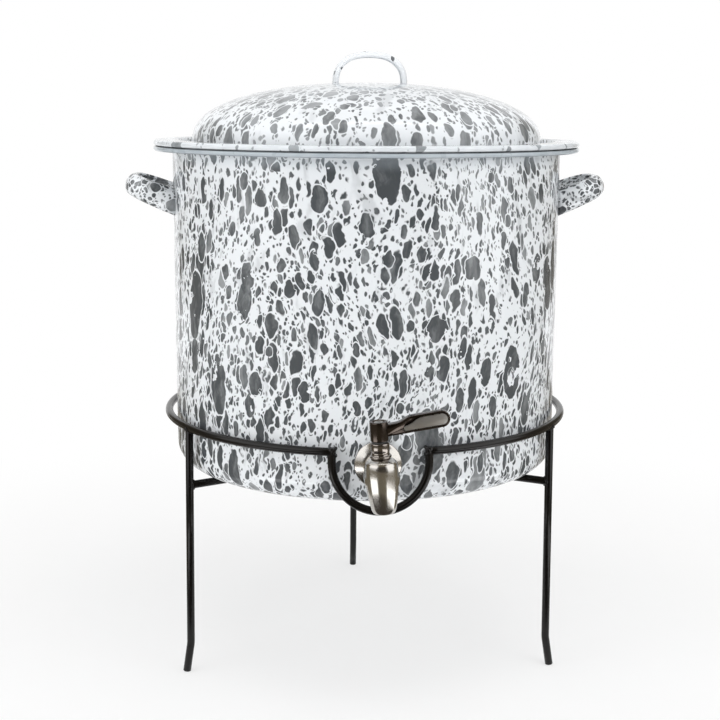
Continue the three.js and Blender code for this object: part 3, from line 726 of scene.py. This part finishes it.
def lid_profile():
    under = LID_FOOT - SHEET
    inner = super_arc(DOME_RADIUS - SHEET, under, DOME_HEIGHT, DOME_SQUARENESS, 30)[::-1]
    outer = super_arc(DOME_RADIUS, LID_FOOT, DOME_HEIGHT, DOME_SQUARENESS, 30)
    channel = WALL_RADIUS - SHEET - 1.6 * MM
    low = under - CHANNEL_DEPTH
    dip_x, dip_z = channel - CHANNEL_BEND - SHEET, low + CHANNEL_BEND + SHEET
    dip = arc(dip_x, dip_z, CHANNEL_BEND + SHEET, -90, 0, 8)
    dip_top = arc(dip_x, dip_z, CHANNEL_BEND, 0, -90, 8)
    roll = arc(RIM_RADIUS - LID_ROLL, LID_EDGE + LID_ROLL, LID_ROLL, -90, 90, 12)
    under_side = inner + [(DOME_RADIUS - SHEET, low)] + dip + [(channel, under), (roll[0][0], under)]
    top_side = roll + [(channel - SHEET, LID_FOOT)] + dip_top + [(DOME_RADIUS, low + SHEET)] + outer
    return under_side + top_side, len(under_side)


profile, under_count = lid_profile()
vertices, faces, rows = lathe(profile, 160)
piece("lid_enamel", at_axis(vertices), faces, [lid_enamel, inside_enamel], "lid", "enamel",
      ["lid_shell"], [1 if row < under_count - 1 else 0 for row in rows])
print("lid faces:", len(faces), "dome height %.1f mm" % (DOME_HEIGHT / MM))

# %% [markdown]
# ## Strap handles
# Each handle is a strip pressed into a shallow channel and bent into a loop, with the hollow
# side towards the fingers. The section is a thin half ellipse with rounded lips.

# %% Handle straps
STRAP_SHEET = 1.6 * MM


def channel_section(width, depth):
    """A thin half-ellipse channel: points of (across, outward), with round lips."""
    half, lip = width / 2, STRAP_SHEET / 2
    inner_half, inner_depth = half - STRAP_SHEET, depth - STRAP_SHEET
    outside = [(half * math.cos(a), depth * math.sin(a)) for a in np.linspace(0, math.pi, 19)]
    hollow = [(inner_half * math.cos(a), inner_depth * math.sin(a)) for a in np.linspace(math.pi, 0, 19)]
    turns = np.linspace(0, math.pi, 7)[1:-1]
    left = [(-half + lip - lip * math.cos(a), -lip * math.sin(a)) for a in turns]
    right = [(half - lip - lip * math.cos(a), -lip * math.sin(a)) for a in turns]
    return outside + left + hollow + right


def strap(path, across, width_at, depth, matrix):
    """A channel swept along a planar path; its back faces away from the loop's middle."""
    path = [Vector(p) for p in path]
    sections = []
    for i, point in enumerate(path):
        ahead = path[min(i + 1, len(path) - 1)] - path[max(i - 1, 0)]
        outward = ahead.normalized().cross(across).normalized()
        width = width_at(i / (len(path) - 1))
        section = channel_section(width, depth)
        sections.append([matrix @ (point + across * a + outward * o) for a, o in section])
    return sweep(path, sections)


SIDE_WIDTH = 20.5 * MM
SIDE_CROWN = 17.6 * MM
SIDE_DEPTH = 6.5 * MM
SIDE_REACH = 38.25 * MM
SIDE_SPAN = 70 * MM
SIDE_CORNER = 27 * MM
SIDE_HEIGHT = RIM - 43.9 * MM
SIDE_TILT = math.radians(21.5)


def side_loop():
    """From the lower foot out, round two corners and back, in the plane z = 0."""
    reach = SIDE_REACH / math.cos(SIDE_TILT) - SIDE_DEPTH
    half = SIDE_SPAN / 2 - SIDE_DEPTH
    corner = SIDE_CORNER - SIDE_DEPTH
    first = arc(reach - corner, -half + corner, corner, -90, 0, 14)
    second = arc(reach - corner, half - corner, corner, 0, 90, 14)
    root = -1.5 * MM
    lead = [(root + (first[0][0] - root) * i / 4, -half) for i in range(4)]
    tail = [(x, half) for x, _ in lead[::-1]]
    crown = [(reach, -half + corner + (2 * half - 2 * corner) * i / 4) for i in range(1, 4)]
    return [(x, y, 0) for x, y in lead + first + crown + second + tail], reach


def onto_wall(point, inward):
    """Slides a point along a direction until it just enters the pot's wall."""
    middle = Vector((AXIS.x, AXIS.y, point.z))
    for _ in range(8):
        point = point + inward * ((point - middle).length - WALL_RADIUS + 0.4 * MM)
        middle.z = point.z
    return point


def side_handle(name, turn, node):
    path, reach = side_loop()
    tilt = Matrix.Rotation(-SIDE_TILT, 4, "Y")
    place = Matrix.Translation((AXIS.x, AXIS.y, 0)) @ Matrix.Rotation(turn, 4, "Z")
    matrix = place @ Matrix.Translation((WALL_RADIUS, 0, SIDE_HEIGHT)) @ tilt

    def width_at(t):
        along = min(max(path[round(t * (len(path) - 1))][0] / reach, 0), 1)
        return SIDE_WIDTH + (SIDE_CROWN - SIDE_WIDTH) * along

    points, faces = strap(path, Vector((0, 0, 1)), width_at, SIDE_DEPTH, matrix)
    inward = (matrix.to_3x3() @ Vector((-1, 0, 0))).normalized()
    per_section = len(points) // len(path)
    for i in list(range(per_section)) + list(range(len(points) - per_section, len(points))):
        points[i] = onto_wall(points[i], inward)
    return piece(name, points, faces, handle_enamel, "pot", "enamel", [node])


def handle_field(finish, x, y, z, stretch):
    return finish.vector(x, y, z)


handle_enamel = enamel("enamel_handles", handle_field)
side_handle("side_handle_right_enamel", 0, "side_handle_right")
side_handle("side_handle_left_enamel", math.pi, "side_handle_left")

# %% Lid handle
LID_STRAP = 14 * MM
LID_STRAP_DEPTH = 4.4 * MM
LID_HANDLE_SPAN = 62 * MM
LID_HANDLE_RISE = 25.5 * MM
LID_HANDLE_SQUARENESS = 2.4
LID_HANDLE_SHIFT = 2.6 * MM


def lid_arch():
    half = super_arc(LID_HANDLE_SPAN / 2 - LID_STRAP_DEPTH, 0, LID_HANDLE_RISE - LID_STRAP_DEPTH,
                     LID_HANDLE_SQUARENESS, 18)
    arch = half + [(-x, z) for x, z in half[:-1]][::-1]
    root = half[0][0]
    line = [(root, -5 * MM), (root, -2 * MM)] + arch + [(-root, -2 * MM), (-root, -5 * MM)]
    return [(x, 0, z) for x, z in line[::-1]]


lid_strap_enamel = enamel("enamel_lid_handle", handle_field, lambda f, x, y, z: z * 0 + 0.93)
crown_place = Matrix.Translation((AXIS.x + LID_HANDLE_SHIFT, AXIS.y, LID_FOOT + DOME_HEIGHT))
made = strap(lid_arch(), Vector((0, 1, 0)), lambda t: LID_STRAP, LID_STRAP_DEPTH, crown_place)
piece("lid_handle_enamel", *made, lid_strap_enamel, "lid", "enamel", ["lid_handle"])

# %% [markdown]
# ## The stand
# One size of round rod throughout, bent cold and welded. Each rod is a circle swept along its
# own line, and each weld is a small lumpy bead round the joint.

# %% Rods
ROD = 3.175 * MM
ROD_SIDES = 20
RING_STEPS = 150
# how far along a rod its first two rings stand, and their shares of its radius
ROD_END = [(0.0, 0.86), (0.0005, 1.0)]
RING_RADIUS = WALL_RADIUS + 3.6 * MM + ROD
RING_HEIGHT = BASE + 43.8 * MM
LOOP_RADIUS = 36.8 * MM
LOOP_SHIFT = 2 * MM
LOOP_UPRIGHT = 8.5 * MM


def rod(name, path, replaces):
    """A round rod along a path, with its ends very slightly rounded."""
    path = [Vector(p) for p in path]
    side = (path[1] - path[0]).normalized().orthogonal().normalized()
    turns = [2 * math.pi * k / ROD_SIDES for k in range(ROD_SIDES)]
    ends = {0: ROD_END, len(path) - 1: [(-shift, share) for shift, share in ROD_END[::-1]]}
    line, sections = [], []
    for i, point in enumerate(path):
        along = (path[min(i + 1, len(path) - 1)] - path[max(i - 1, 0)]).normalized()
        side = (side - along * side.dot(along)).normalized()
        up = along.cross(side)
        for shift, share in ends.get(i, [(0.0, 1.0)]):
            middle, r = point + along * shift, ROD * share
            sections.append([middle + (side * math.cos(a) + up * math.sin(a)) * r for a in turns])
            line.append(point)
    made = sweep(line, sections)
    return piece(name, *made, rod_paint, "stand", "black_paint", replaces)


def on_ring(arc_length, z):
    a = arc_length / RING_RADIUS
    return (AXIS.x + RING_RADIUS * math.sin(a), AXIS.y - RING_RADIUS * math.cos(a), z)


def ring_path():
    start = LOOP_SHIFT + LOOP_RADIUS
    length = 2 * (math.pi * RING_RADIUS - LOOP_RADIUS)
    return [on_ring(start + length * i / RING_STEPS, RING_HEIGHT) for i in range(RING_STEPS + 1)]


def loop_path():
    springing = RING_HEIGHT - LOOP_UPRIGHT
    bow = arc(0, springing, LOOP_RADIUS, 180, 360, 48)
    top = RING_HEIGHT + ROD
    left = [(-LOOP_RADIUS, top), (-LOOP_RADIUS, RING_HEIGHT)]
    right = [(LOOP_RADIUS, RING_HEIGHT), (LOOP_RADIUS, top)]
    return [on_ring(s + LOOP_SHIFT, z) for s, z in left + bow + right]


rod("ring_rod", ring_path(), ["stand_ring"])
rod("loop_rod", loop_path(), ["tap_loop"])

# %% Legs and arms
LEG_SPREAD = 60.5
LEG_LEAN = 1.9 * MM
KINK_HEIGHT = 24 * MM
KINK_RADIUS = 28 * MM
FOOT_OUTSET = 6 * MM
ARM_REACH = 70 * MM
ARM_HEIGHT = BASE - 0.3 * MM - ROD


def leg_line():
    """The leg in the plane y = 0: down from the ring, then a kink outwards to the floor."""
    splay = FOOT_OUTSET - LEG_LEAN
    slope = math.atan2(splay, KINK_HEIGHT)
    lean = math.atan2(LEG_LEAN, RING_HEIGHT - KINK_HEIGHT)
    run = KINK_RADIUS * math.tan((slope - lean) / 2)
    centre = RING_RADIUS + LEG_LEAN + KINK_RADIUS
    first, last = 180 + math.degrees(lean), 180 + math.degrees(slope)
    kink = arc(centre, KINK_HEIGHT + run, KINK_RADIUS, first, last, 8)
    end_x, end_z = kink[-1]
    foot = (end_x + end_z / math.cos(slope) * math.sin(slope), 0.0)
    halfway = (RING_RADIUS + LEG_LEAN * 0.5, (RING_HEIGHT + KINK_HEIGHT) / 2)
    return [(RING_RADIUS, RING_HEIGHT), halfway] + kink + [foot]


def around(points, azimuth):
    turn = Matrix.Translation((AXIS.x, AXIS.y, 0)) @ Matrix.Rotation(math.radians(azimuth), 4, "Z")
    return [turn @ Vector((x, 0, z)) for x, z in points]


def level_foot(leg):
    """Cuts a leg's end level with the floor by lifting what reaches below it."""
    for vertex in leg.data.vertices:
        vertex.co.z = max(vertex.co.z, 0.0)


LEGS = {"left": -90 - LEG_SPREAD, "right": -90 + LEG_SPREAD, "rear": 90}
for side, azimuth in LEGS.items():
    leg = rod("leg_rod_" + side, around(leg_line(), azimuth), ["leg_" + side])
    level_foot(leg)
    arm = [(RING_RADIUS - ARM_REACH, ARM_HEIGHT), (RING_RADIUS - ARM_REACH / 2, ARM_HEIGHT),
           (RING_RADIUS, ARM_HEIGHT)]
    rod("arm_rod_" + side, around(arm, azimuth), ["arm_" + side])

# %% [markdown]
# Weld beads: the joint between two rods of one size is a saddle, so each bead is a thin tube
# that follows that saddle, with its thickness wandering a little.

# %% Weld beads
BEAD_RADIUS = 1.15 * MM


def bead(name, place, along, stem, seed):
    """A bead where a rod that leaves along stem meets one that runs along along."""
    along, stem = Vector(along).normalized(), Vector(stem).normalized()
    across = along.cross(stem)
    path, sections = [], []
    steps, sides = 40, 8
    turns = [2 * math.pi * k / sides for k in range(sides)]
    for i in range(steps):
        a = 2 * math.pi * i / steps
        u, w = ROD * math.cos(a), ROD * math.sin(a)
        rise = math.sqrt(max(ROD * ROD - w * w, 0.0)) * 0.96
        path.append(place + along * u + across * w + stem * rise)
    for i, point in enumerate(path):
        ahead = (path[(i + 1) % steps] - path[i - 1]).normalized()
        out = (point - place - stem * (point - place).dot(stem)).normalized()
        up = ahead.cross(out)
        lump = 1 + 0.35 * solid_noise.noise(point * 420 + Vector((seed, seed, seed)))
        r = BEAD_RADIUS * lump
        sections.append([point + (out * math.cos(t) + up * math.sin(t)) * r for t in turns])
    made = sweep(path, sections, closed=True)
    return piece(name, *made, rod_paint, "stand", "black_paint")


def tangent_at(azimuth):
    a = math.radians(azimuth)
    return Vector((-math.sin(a), math.cos(a), 0))


for seed, (side, azimuth) in enumerate(LEGS.items()):
    top = around([(RING_RADIUS, RING_HEIGHT)], azimuth)[0]
    bead("weld_leg_" + side, top, tangent_at(azimuth), (0, 0, -1), seed)
    a = math.radians(azimuth)
    inward = -Vector((math.cos(a), math.sin(a), 0))
    joint = around([(RING_RADIUS + 0.45 * MM, ARM_HEIGHT)], azimuth)[0]
    bead("weld_arm_" + side, joint, (0, 0, 1), inward, seed + 5)
for seed, end in enumerate((-1, 1)):
    s = LOOP_SHIFT + end * LOOP_RADIUS
    joint = Vector(on_ring(s, RING_HEIGHT))
    away = (Vector(on_ring(s + end, RING_HEIGHT)) - joint)
    bead("weld_loop_" + ("left", "right")[seed], joint, (0, 0, 1), away, seed + 9)

# %% [markdown]
# ## The tap
# The tap leans a few degrees, so its pieces are drawn upright about the valve's axis and then
# set in place with one matrix. Turned parts are lathes; the body is a spout and a barrel that
# the casting blends together.

# %% Where the tap stands
TAP_LEAN = math.radians(4)
hinge = next(j for j in frame["joints"] if j["name"] == "lever_turn")
tap_place = Matrix.Translation(Vector(hinge["pos_m"])) @ Matrix.Rotation(-TAP_LEAN, 4, "Y")
on_shank = Matrix.Rotation(-math.pi / 2, 4, "X")


# %% Spout, barrel and the body they make
SPOUT_TOP = 16.0
SPOUT_LENGTH = 41.4
SPOUT_RADIUS = 12.2
SPOUT_FOOT = SPOUT_TOP - SPOUT_LENGTH
BARREL_BACK = 37.1
SHANK_END = 66.7


def flowing(points, steps):
    """A smooth line through points, with a cubic between each pair of them."""
    line = []
    for i in range(len(points) - 1):
        near = [points[max(0, min(len(points) - 1, i + k))] for k in (-1, 0, 1, 2)]
        for k in range(steps):
            t = k / steps
            weights = (-0.5 * t + t * t - 0.5 * t ** 3, 1 - 2.5 * t * t + 1.5 * t ** 3,
                       0.5 * t + 2 * t * t - 1.5 * t ** 3, -0.5 * t * t + 0.5 * t ** 3)
            line.append(tuple(sum(w * p[c] for w, p in zip(weights, near)) for c in (0, 1)))
    return line + [tuple(points[-1])]


def spout_profile():
    shares = [(0.62, 0.02), (0.70, 0.06), (0.765, 0.12), (0.85, 0.25), (0.94, 0.43),
              (0.99, 0.62), (1.0, 0.76), (0.97, 0.87), (0.88, 0.94)]
    line = [(SPOUT_RADIUS * r, SPOUT_FOOT + SPOUT_LENGTH * h) for r, h in shares]
    line = flowing([(5.7, SPOUT_FOOT + 0.5)] + line + [(7.0, SPOUT_TOP)], 6)
    bore = [(0, SPOUT_FOOT + 17), (4.5, SPOUT_FOOT + 17), (4.5, SPOUT_FOOT + 0.5)]
    return bore + [(5.1, SPOUT_FOOT)] + line + [(0, SPOUT_TOP)]


def barrel_profile():
    nose = [(r, h * 0.7) for r, h in arc(0, 0, 13, -90, 0, 16)]
    neck = flowing([(13, 10), (12.2, 18), (10.8, 25), (10.4, BARREL_BACK - 4)], 5)
    return nose + neck + [(10.4, BARREL_BACK), (8, BARREL_BACK), (8, SHANK_END), (4, SHANK_END),
                          (4, SHANK_END - 12), (0, SHANK_END - 12)]


def together(*parts):
    """Vertices and faces of several closed meshes as one."""
    vertices, faces = [], []
    for more_vertices, more_faces in parts:
        faces.extend([[v + len(vertices) for v in face] for face in more_faces])
        vertices.extend(more_vertices)
    return vertices, faces


def set_in_tap(profile, steps=64, along_shank=False):
    made, faces, _ = lathe([(r * MM, h * MM) for r, h in profile], steps)
    matrix = tap_place @ on_shank if along_shank else tap_place
    return [matrix @ Vector(v) for v in made], faces


def settle(made):
    """Gives a piece the mesh that its modifiers make, and takes the modifiers off."""
    graph = bpy.context.evaluated_depsgraph_get()
    mesh = bpy.data.meshes.new_from_object(made.evaluated_get(graph))
    made.modifiers.clear()
    made.data = mesh
    mesh.shade_smooth()
    return made


def cast_together(made, voxel, passes):
    """Blends a piece's crossing solids into one skin with small fillets, as a casting has."""
    skin = made.modifiers.new("skin", "REMESH")
    skin.mode, skin.voxel_size = "VOXEL", voxel
    soft = made.modifiers.new("soft", "SMOOTH")
    soft.factor, soft.iterations = 0.5, passes
    return settle(made)


made = together(set_in_tap(spout_profile()), set_in_tap(barrel_profile(), along_shank=True))
body = piece("tap_body_cast", *made, tap_steel, "pot", "stainless", ["tap_body"])
cast_together(body, 0.45 * MM, 12)
print("tap body faces:", len(body.data.polygons))

# %% Flange and collar
FLANGE_BACK = 41.8


def tap_flange():
    front = [(8.3, 4.38), (10.4, 4.38), (11.2, 4.2), (12.6, 3.6), (14.6, 2.65), (16.4, 1.7),
             (17.5, 0.95), (18, 0.4)]
    profile = [(r, FLANGE_BACK - h) for r, h in front + [(17.9, 0), (8.3, 0)]]
    return set_in_tap(profile + profile[:1], 96, along_shank=True)


def tap_collar():
    ring = [(6.8 + 1.1 * math.cos(a), 17.4 + 1.1 * math.sin(a)) for a in np.linspace(-1.5, 1.5, 9)]
    groove = [(6.8, 18.6), (6.55, 19.0), (6.55, 21.0), (6.8, 21.4)]
    top = [(6.8, 26.6), (6.7, 27.2), (6.3, 27.5), (3.5, 27.5), (3.5, 12.0)]
    outline = [(5.9, 12.0), (5.9, 16.3)] + ring + groove + top
    return set_in_tap(outline + outline[:1])


piece("tap_flange_polished", *tap_flange(), tap_steel, "pot", "stainless", ["tap_flange"])
piece("tap_collar_polished", *tap_collar(), shaded_collar_steel, "pot", "stainless", ["tap_collar"])

# %% [markdown]
# The lever is a flat paddle with round edges, sunk on its front for a satin panel, and a round
# hub over the stem. The paddle starts as its outline seen from the front; a bevel rounds the
# edges and a boolean sinks the panel's bed.

# %% Lever outlines
LEVER_LENGTH = 51.4
LEVER_HALF = 3.5
LEVER_NECK = 8.4
LEVER_PADDLE = 11.9
LEVER_SHOULDER = 11
PADDLE_START = 26.0
PANEL_START = 17.4
LEVER_MIDDLE = 35.7
LEVER_RISE = math.radians(5.6)
HUB_RADIUS = 6.6
HUB_FOOT, HUB_TOP = 29.0, 43.0


def bent(start, first, second, end, steps=10):
    """Points of a cubic bend, without its first one."""
    line = []
    for k in range(1, steps + 1):
        t = k / steps
        weights = ((1 - t) ** 3, 3 * t * (1 - t) ** 2, 3 * t * t * (1 - t), t ** 3)
        pairs = list(zip(weights, (start, first, second, end)))
        line.append(tuple(sum(w * p[c] for w, p in pairs) for c in (0, 1)))
    return line


def lever_outline():
    low = -LEVER_NECK / 2
    high = low + LEVER_PADDLE
    tip = LEVER_PADDLE / 2
    tip_x = LEVER_LENGTH - tip
    flare = (PADDLE_START - LEVER_SHOULDER) / 2
    round_tip = arc(tip_x, low + tip, tip, -90, 90, 20)
    shoulder = bent((PADDLE_START, high), (PADDLE_START - flare, high),
                    (LEVER_SHOULDER + flare, -low), (LEVER_SHOULDER, -low))
    return [(0, low)] + round_tip + [(PADDLE_START, high)] + shoulder + [(0, -low)]


def panel_outline(margin):
    middle = (LEVER_PADDLE - LEVER_NECK) / 2
    half = LEVER_PADDLE / 2 - 1.6 + margin
    low = middle - half
    shoulder = low + 4.2 + margin
    left = PANEL_START - margin
    tip_x = LEVER_LENGTH - LEVER_PADDLE / 2
    rise = (PADDLE_START - PANEL_START) / 2
    top = (PADDLE_START + 2 * rise, middle + half)
    slope = bent(top, (PADDLE_START, middle + half), (PADDLE_START, shoulder + 1),
                 (left + 2, shoulder))
    corner = [(left + 0.8, shoulder - 0.5), (left + 0.15, shoulder - 1.2), (left, shoulder - 2),
              (left + 0.2, low + 0.9), (left + 0.9, low + 0.2)]
    return [(left + 2, low)] + arc(tip_x, middle, half, -90, 90, 20) + [top] + slope + corner


def plate(outline, front, back):
    """An outline stood up facing the front of the tap, between two depths."""
    rise = Matrix.Rotation(-LEVER_RISE, 4, "Y")
    matrix = tap_place @ Matrix.Translation((0, 0, LEVER_MIDDLE * MM)) @ rise
    count = len(outline)
    points = [matrix @ (Vector((x, y, z)) * MM) for y in (-front, -back) for x, z in outline]
    sides = [(k, count + k, count + (k + 1) % count, (k + 1) % count) for k in range(count)]
    return points, [tuple(range(count)), tuple(range(2 * count - 1, count - 1, -1))] + sides


# %% Lever, hub and panel


def edge_round(made, width, steps):
    bevel = made.modifiers.new("edges", "BEVEL")
    bevel.width, bevel.segments, bevel.limit_method = width, steps, "ANGLE"
    bevel.angle_limit = math.radians(40)
    return settle(made)


made = plate(lever_outline(), LEVER_HALF, -LEVER_HALF)
lever = piece("tap_lever_polished", *made, shaded_dark_steel, "lever", "stainless", ["tap_lever"])
edge_round(lever, 0.6 * MM, 3)
made = plate(panel_outline(0.3), LEVER_HALF + 1, LEVER_HALF - 1.1)
bed = piece("panel_bed", *made, shaded_dark_steel, "lever", "stainless")
sink = lever.modifiers.new("sink", "BOOLEAN")
sink.operation, sink.object, sink.solver = "DIFFERENCE", bed, "EXACT"
settle(lever)
bpy.data.objects.remove(bed)
made = plate(panel_outline(0), LEVER_HALF - 0.45, LEVER_HALF - 1.3)
panel = piece("lever_panel_satin", *made, panel_steel, "lever", "lever_inlay", ["lever_panel"])
edge_round(panel, 0.7 * MM, 2)
panel.data.materials.append(nut_steel)
FACING = 0.98
for face in panel.data.polygons:
    face.material_index = int(abs(face.normal.y) < FACING)


def lever_hub():
    top = arc(HUB_RADIUS - 0.9, HUB_TOP - 0.9, 0.9, 0, 90, 6)
    foot = arc(HUB_RADIUS - 0.4, HUB_FOOT + 0.4, 0.4, -90, 0, 4)
    seat = [(4.7, HUB_TOP), (4.6, HUB_TOP - 2.1), (0, HUB_TOP - 2.1)]
    return set_in_tap([(0, HUB_FOOT)] + foot + top + seat)


piece("lever_hub_polished", *lever_hub(), shaded_dark_steel, "lever", "stainless")

# %% Nodes that stay as they are
KEPT = {
    "outer_seal": seal_silicone, "inner_seal": seal_silicone, "shank_washer": nut_steel,
    "shank_nut": nut_steel, "lever_glide": plug_nylon, "plug_seal": plug_nylon,
    "valve_plug": nut_steel, "lever_screw": nut_steel,
}
for name, material in KEPT.items():
    node = frame["nodes"][name]
    node.data.materials.clear()
    node.data.materials.append(material)
    edges = node.modifiers.new("edges", "BEVEL")
    edges.width, edges.segments, edges.limit_method = 0.12 * MM, 2, "ANGLE"
    edges.angle_limit = math.radians(30)
    edges.harden_normals = True
    node.data.shade_smooth()
print("kept nodes:", len(KEPT))

# %% [markdown]
# ## Studio
# A pale sweep under and behind the object, a large soft light on each side and one above. What
# the camera sees directly is kept white through the light path, while the lamps stay plain.

# %% World
AMBIENT = 0.52
world = bpy.data.worlds.new("studio")
bpy.context.scene.world = world
world.use_nodes = True


class Studio(Finish):
    """The same way of writing nodes, for the world."""

    def __init__(self):
        self.tree = world.node_tree
        self.shader = self.tree.nodes["Background"]


def seen_directly(finish):
    """1 for rays from the camera, from a mirror and through glass, and 0 for light on the object."""
    rays = {w.socket.name: w for w in finish.node("ShaderNodeLightPath")}
    return rays["Is Camera Ray"] | rays["Is Glossy Ray"] | rays["Is Transmission Ray"]


studio = Studio()
studio.feed(studio.shader.inputs["Strength"], AMBIENT + seen_directly(studio) * (1.0 - AMBIENT))
studio.feed(studio.shader.inputs["Color"], (1.0, 1.0, 1.0, 1.0))

# %% Floor


def flat_sheet(name, corners, material):
    mesh = bpy.data.meshes.new(name)
    mesh.from_pydata(corners, [], [tuple(range(len(corners)))])
    mesh.materials.append(material)
    made = bpy.data.objects.new(name, mesh)
    bpy.context.scene.collection.objects.link(made)
    return made


def floor_paper():
    """White paper that keeps the shadow near the object and fades to plain white further out."""
    finish = Finish("floor_paper")
    x, y, z = finish.parts(finish.place())
    reach = reach_of(finish, x, y)
    grain = finish.noise(finish.place(), 40.0)[0]
    finish.surface(Base_Color=finish.blend(grain, grey(0.93), grey(0.95)), Roughness=0.9)
    glow = finish.node("ShaderNodeEmission", None, Color=(1, 1, 1, 1), Strength=1.0)[0]
    share = (0.60 + reach.step(0.25, 0.75) * 0.40) * seen_directly(finish)
    paper = Wire(finish, finish.shader.outputs[0])
    mixed = finish.node("ShaderNodeMixShader", None, share, paper, glow)[0]
    finish.feed(finish.tree.nodes["Material Output"].inputs["Surface"], mixed)
    return finish.material


FLOOR_REACH = 8
FLOOR_DROP = 0.0002
corners = [(x * FLOOR_REACH, y * FLOOR_REACH, 0) for x, y in ((-1, -1), (1, -1), (1, 1), (-1, 1))]
floor = flat_sheet("floor", corners, floor_paper())
floor.location.z = -FLOOR_DROP

# %% [markdown]
# Polished steel is nearly all reflection, so the studio round it matters more than its own
# colour. Upright cards stand round the front: black in the middle, white beside it, brown at
# the sides. Brown cards hang overhead with one bright strip among them. On the floor lie parts
# of flat rings round the tap: black near it, then bright to the left and right with brown
# between. Brown sheets lie beyond them. Only mirror rays see the cards, so they neither light
# nor shade the object.

# %% Cards


def card_finish(name, dark, light):
    """Glowing cloth between two tones."""
    finish = Finish(name)
    fold = finish.noise(finish.place(), 1.4, detail=3.0)[0]
    return finish.surface(Base_Color=(0, 0, 0, 1), Roughness=1.0, Emission_Strength=1.0,
                          Emission_Color=finish.blend(fold, dark, light))


def card(name, corners, material):
    """A card that only mirror rays see."""
    made = flat_sheet(name, corners, material)
    made.visible_camera = made.visible_diffuse = made.visible_shadow = made.visible_transmission = False
    return made


def upright(start, end, distance, low, high):
    """Corners of an upright card between two bearings, in degrees from straight in front."""
    turns = [math.radians(a) for a in (start, end)]
    (ax, ay), (bx, by) = [(distance * math.sin(a), -distance * math.cos(a)) for a in turns]
    return [(ax, ay, low), (bx, by, low), (bx, by, high), (ax, ay, high)]


black_card = card_finish("card_black", (0.02, 0.015, 0.011, 1), (0.06, 0.05, 0.04, 1))
brown_card = card_finish("card_brown", (0.13, 0.11, 0.075, 1), (0.26, 0.225, 0.165, 1))
white_card = card_finish("card_white", (1.55, 1.55, 1.55, 1), (1.75, 1.75, 1.75, 1))
bright_card = card_finish("card_bright", (2.6, 2.6, 2.6, 1), (3.2, 3.2, 3.2, 1))
card("card_front", upright(-38, 38, 2.35, 0.0, 1.3), black_card)
card("card_right", upright(38, 82, 2.3, 0.0, 0.9), white_card)
card("card_side_left", upright(-148, -88, 2.3, 0.0, 1.5), brown_card)
card("card_side_right", upright(88, 148, 2.3, 0.0, 1.5), brown_card)
card("card_high_left", upright(-95, -24, 2.3, 0.40, 2.2), white_card)
card("card_high_right", upright(24, 95, 2.3, 0.40, 2.2), white_card)


def overhead(near, far):
    """Corners of a card across the top, between two edges of (half width, y, z)."""
    (near_x, near_y, near_z), (far_x, far_y, far_z) = near, far
    return [(-near_x, near_y, near_z), (near_x, near_y, near_z),
            (far_x, far_y, far_z), (-far_x, far_y, far_z)]


card("card_overhead", overhead((1.25, -2.4, 1.3), (0.9, -0.6, 2.6)), brown_card)
card("card_ceiling", overhead((0.9, -0.6, 2.6), (0.9, 1.0, 2.6)), brown_card)
card("card_strip", overhead((1.2, -0.46, 2.3), (1.2, -0.28, 2.3)), bright_card)


def low_card(name, height, corners, material):
    """A card that lies on the floor."""
    card(name, [(x, y, height) for x, y in corners], material)


def sector(start, end, near, far):
    """Corners of a flat ring's part round the tap, between two bearings and two distances."""
    turns = [math.radians(a) for a in np.linspace(start, end, 13)]
    tap = Vector(hinge["pos_m"])
    inner = [(tap.x + near * math.sin(a), tap.y - near * math.cos(a)) for a in turns]
    outer = [(tap.x + far * math.sin(a), tap.y - far * math.cos(a)) for a in turns]
    return inner + outer[::-1]


DARK_EDGE, BRIGHT_EDGE = 0.31, 0.52
low_card("card_low_near", 0.003, sector(-100, 100, 0.03, DARK_EDGE), black_card)
low_card("card_low_left", 0.003, sector(-88, -36, DARK_EDGE, BRIGHT_EDGE), bright_card)
low_card("card_low_middle", 0.003, sector(-36, 28, DARK_EDGE, BRIGHT_EDGE), brown_card)
low_card("card_low_right", 0.003, sector(28, 100, DARK_EDGE, BRIGHT_EDGE), bright_card)
low_card("card_low_far", 0.001, [(-3, -3.2), (3, -3.2), (3, -0.18), (-3, -0.18)], brown_card)
for side, sign in (("left", -1), ("right", 1)):
    inner, outer = sign * 0.3, sign * 3
    corners = [(inner, -0.2), (outer, -0.2), (outer, 1), (inner, 1)]
    low_card("card_low_side_" + side, 0.002, corners, brown_card)

# %% Lamps
AIM = (0, 0, 0.3)


def softbox(name, place, width, height, power):
    """A soft lamp aimed at the pot's middle that doesn't show in the steel."""
    lamp = bpy.data.lights.new(name, "AREA")
    lamp.shape = "RECTANGLE"
    lamp.size, lamp.size_y, lamp.energy = width, height, power
    holder = bpy.data.objects.new(name, lamp)
    bpy.context.scene.collection.objects.link(holder)
    holder.location = place
    holder.rotation_euler = (Vector(AIM) - Vector(place)).to_track_quat("-Z", "Y").to_euler()
    holder.visible_glossy = False


softbox("softbox_left", (-1.75, -0.95, 0.52), 1.3, 1.0, 16)
softbox("softbox_right", (1.45, -1.35, 0.85), 1.4, 1.3, 15)
softbox("softbox_top", (0, -0.25, 2.0), 1.5, 0.8, 14)

bpy.context.scene.view_settings.view_transform = "Standard"
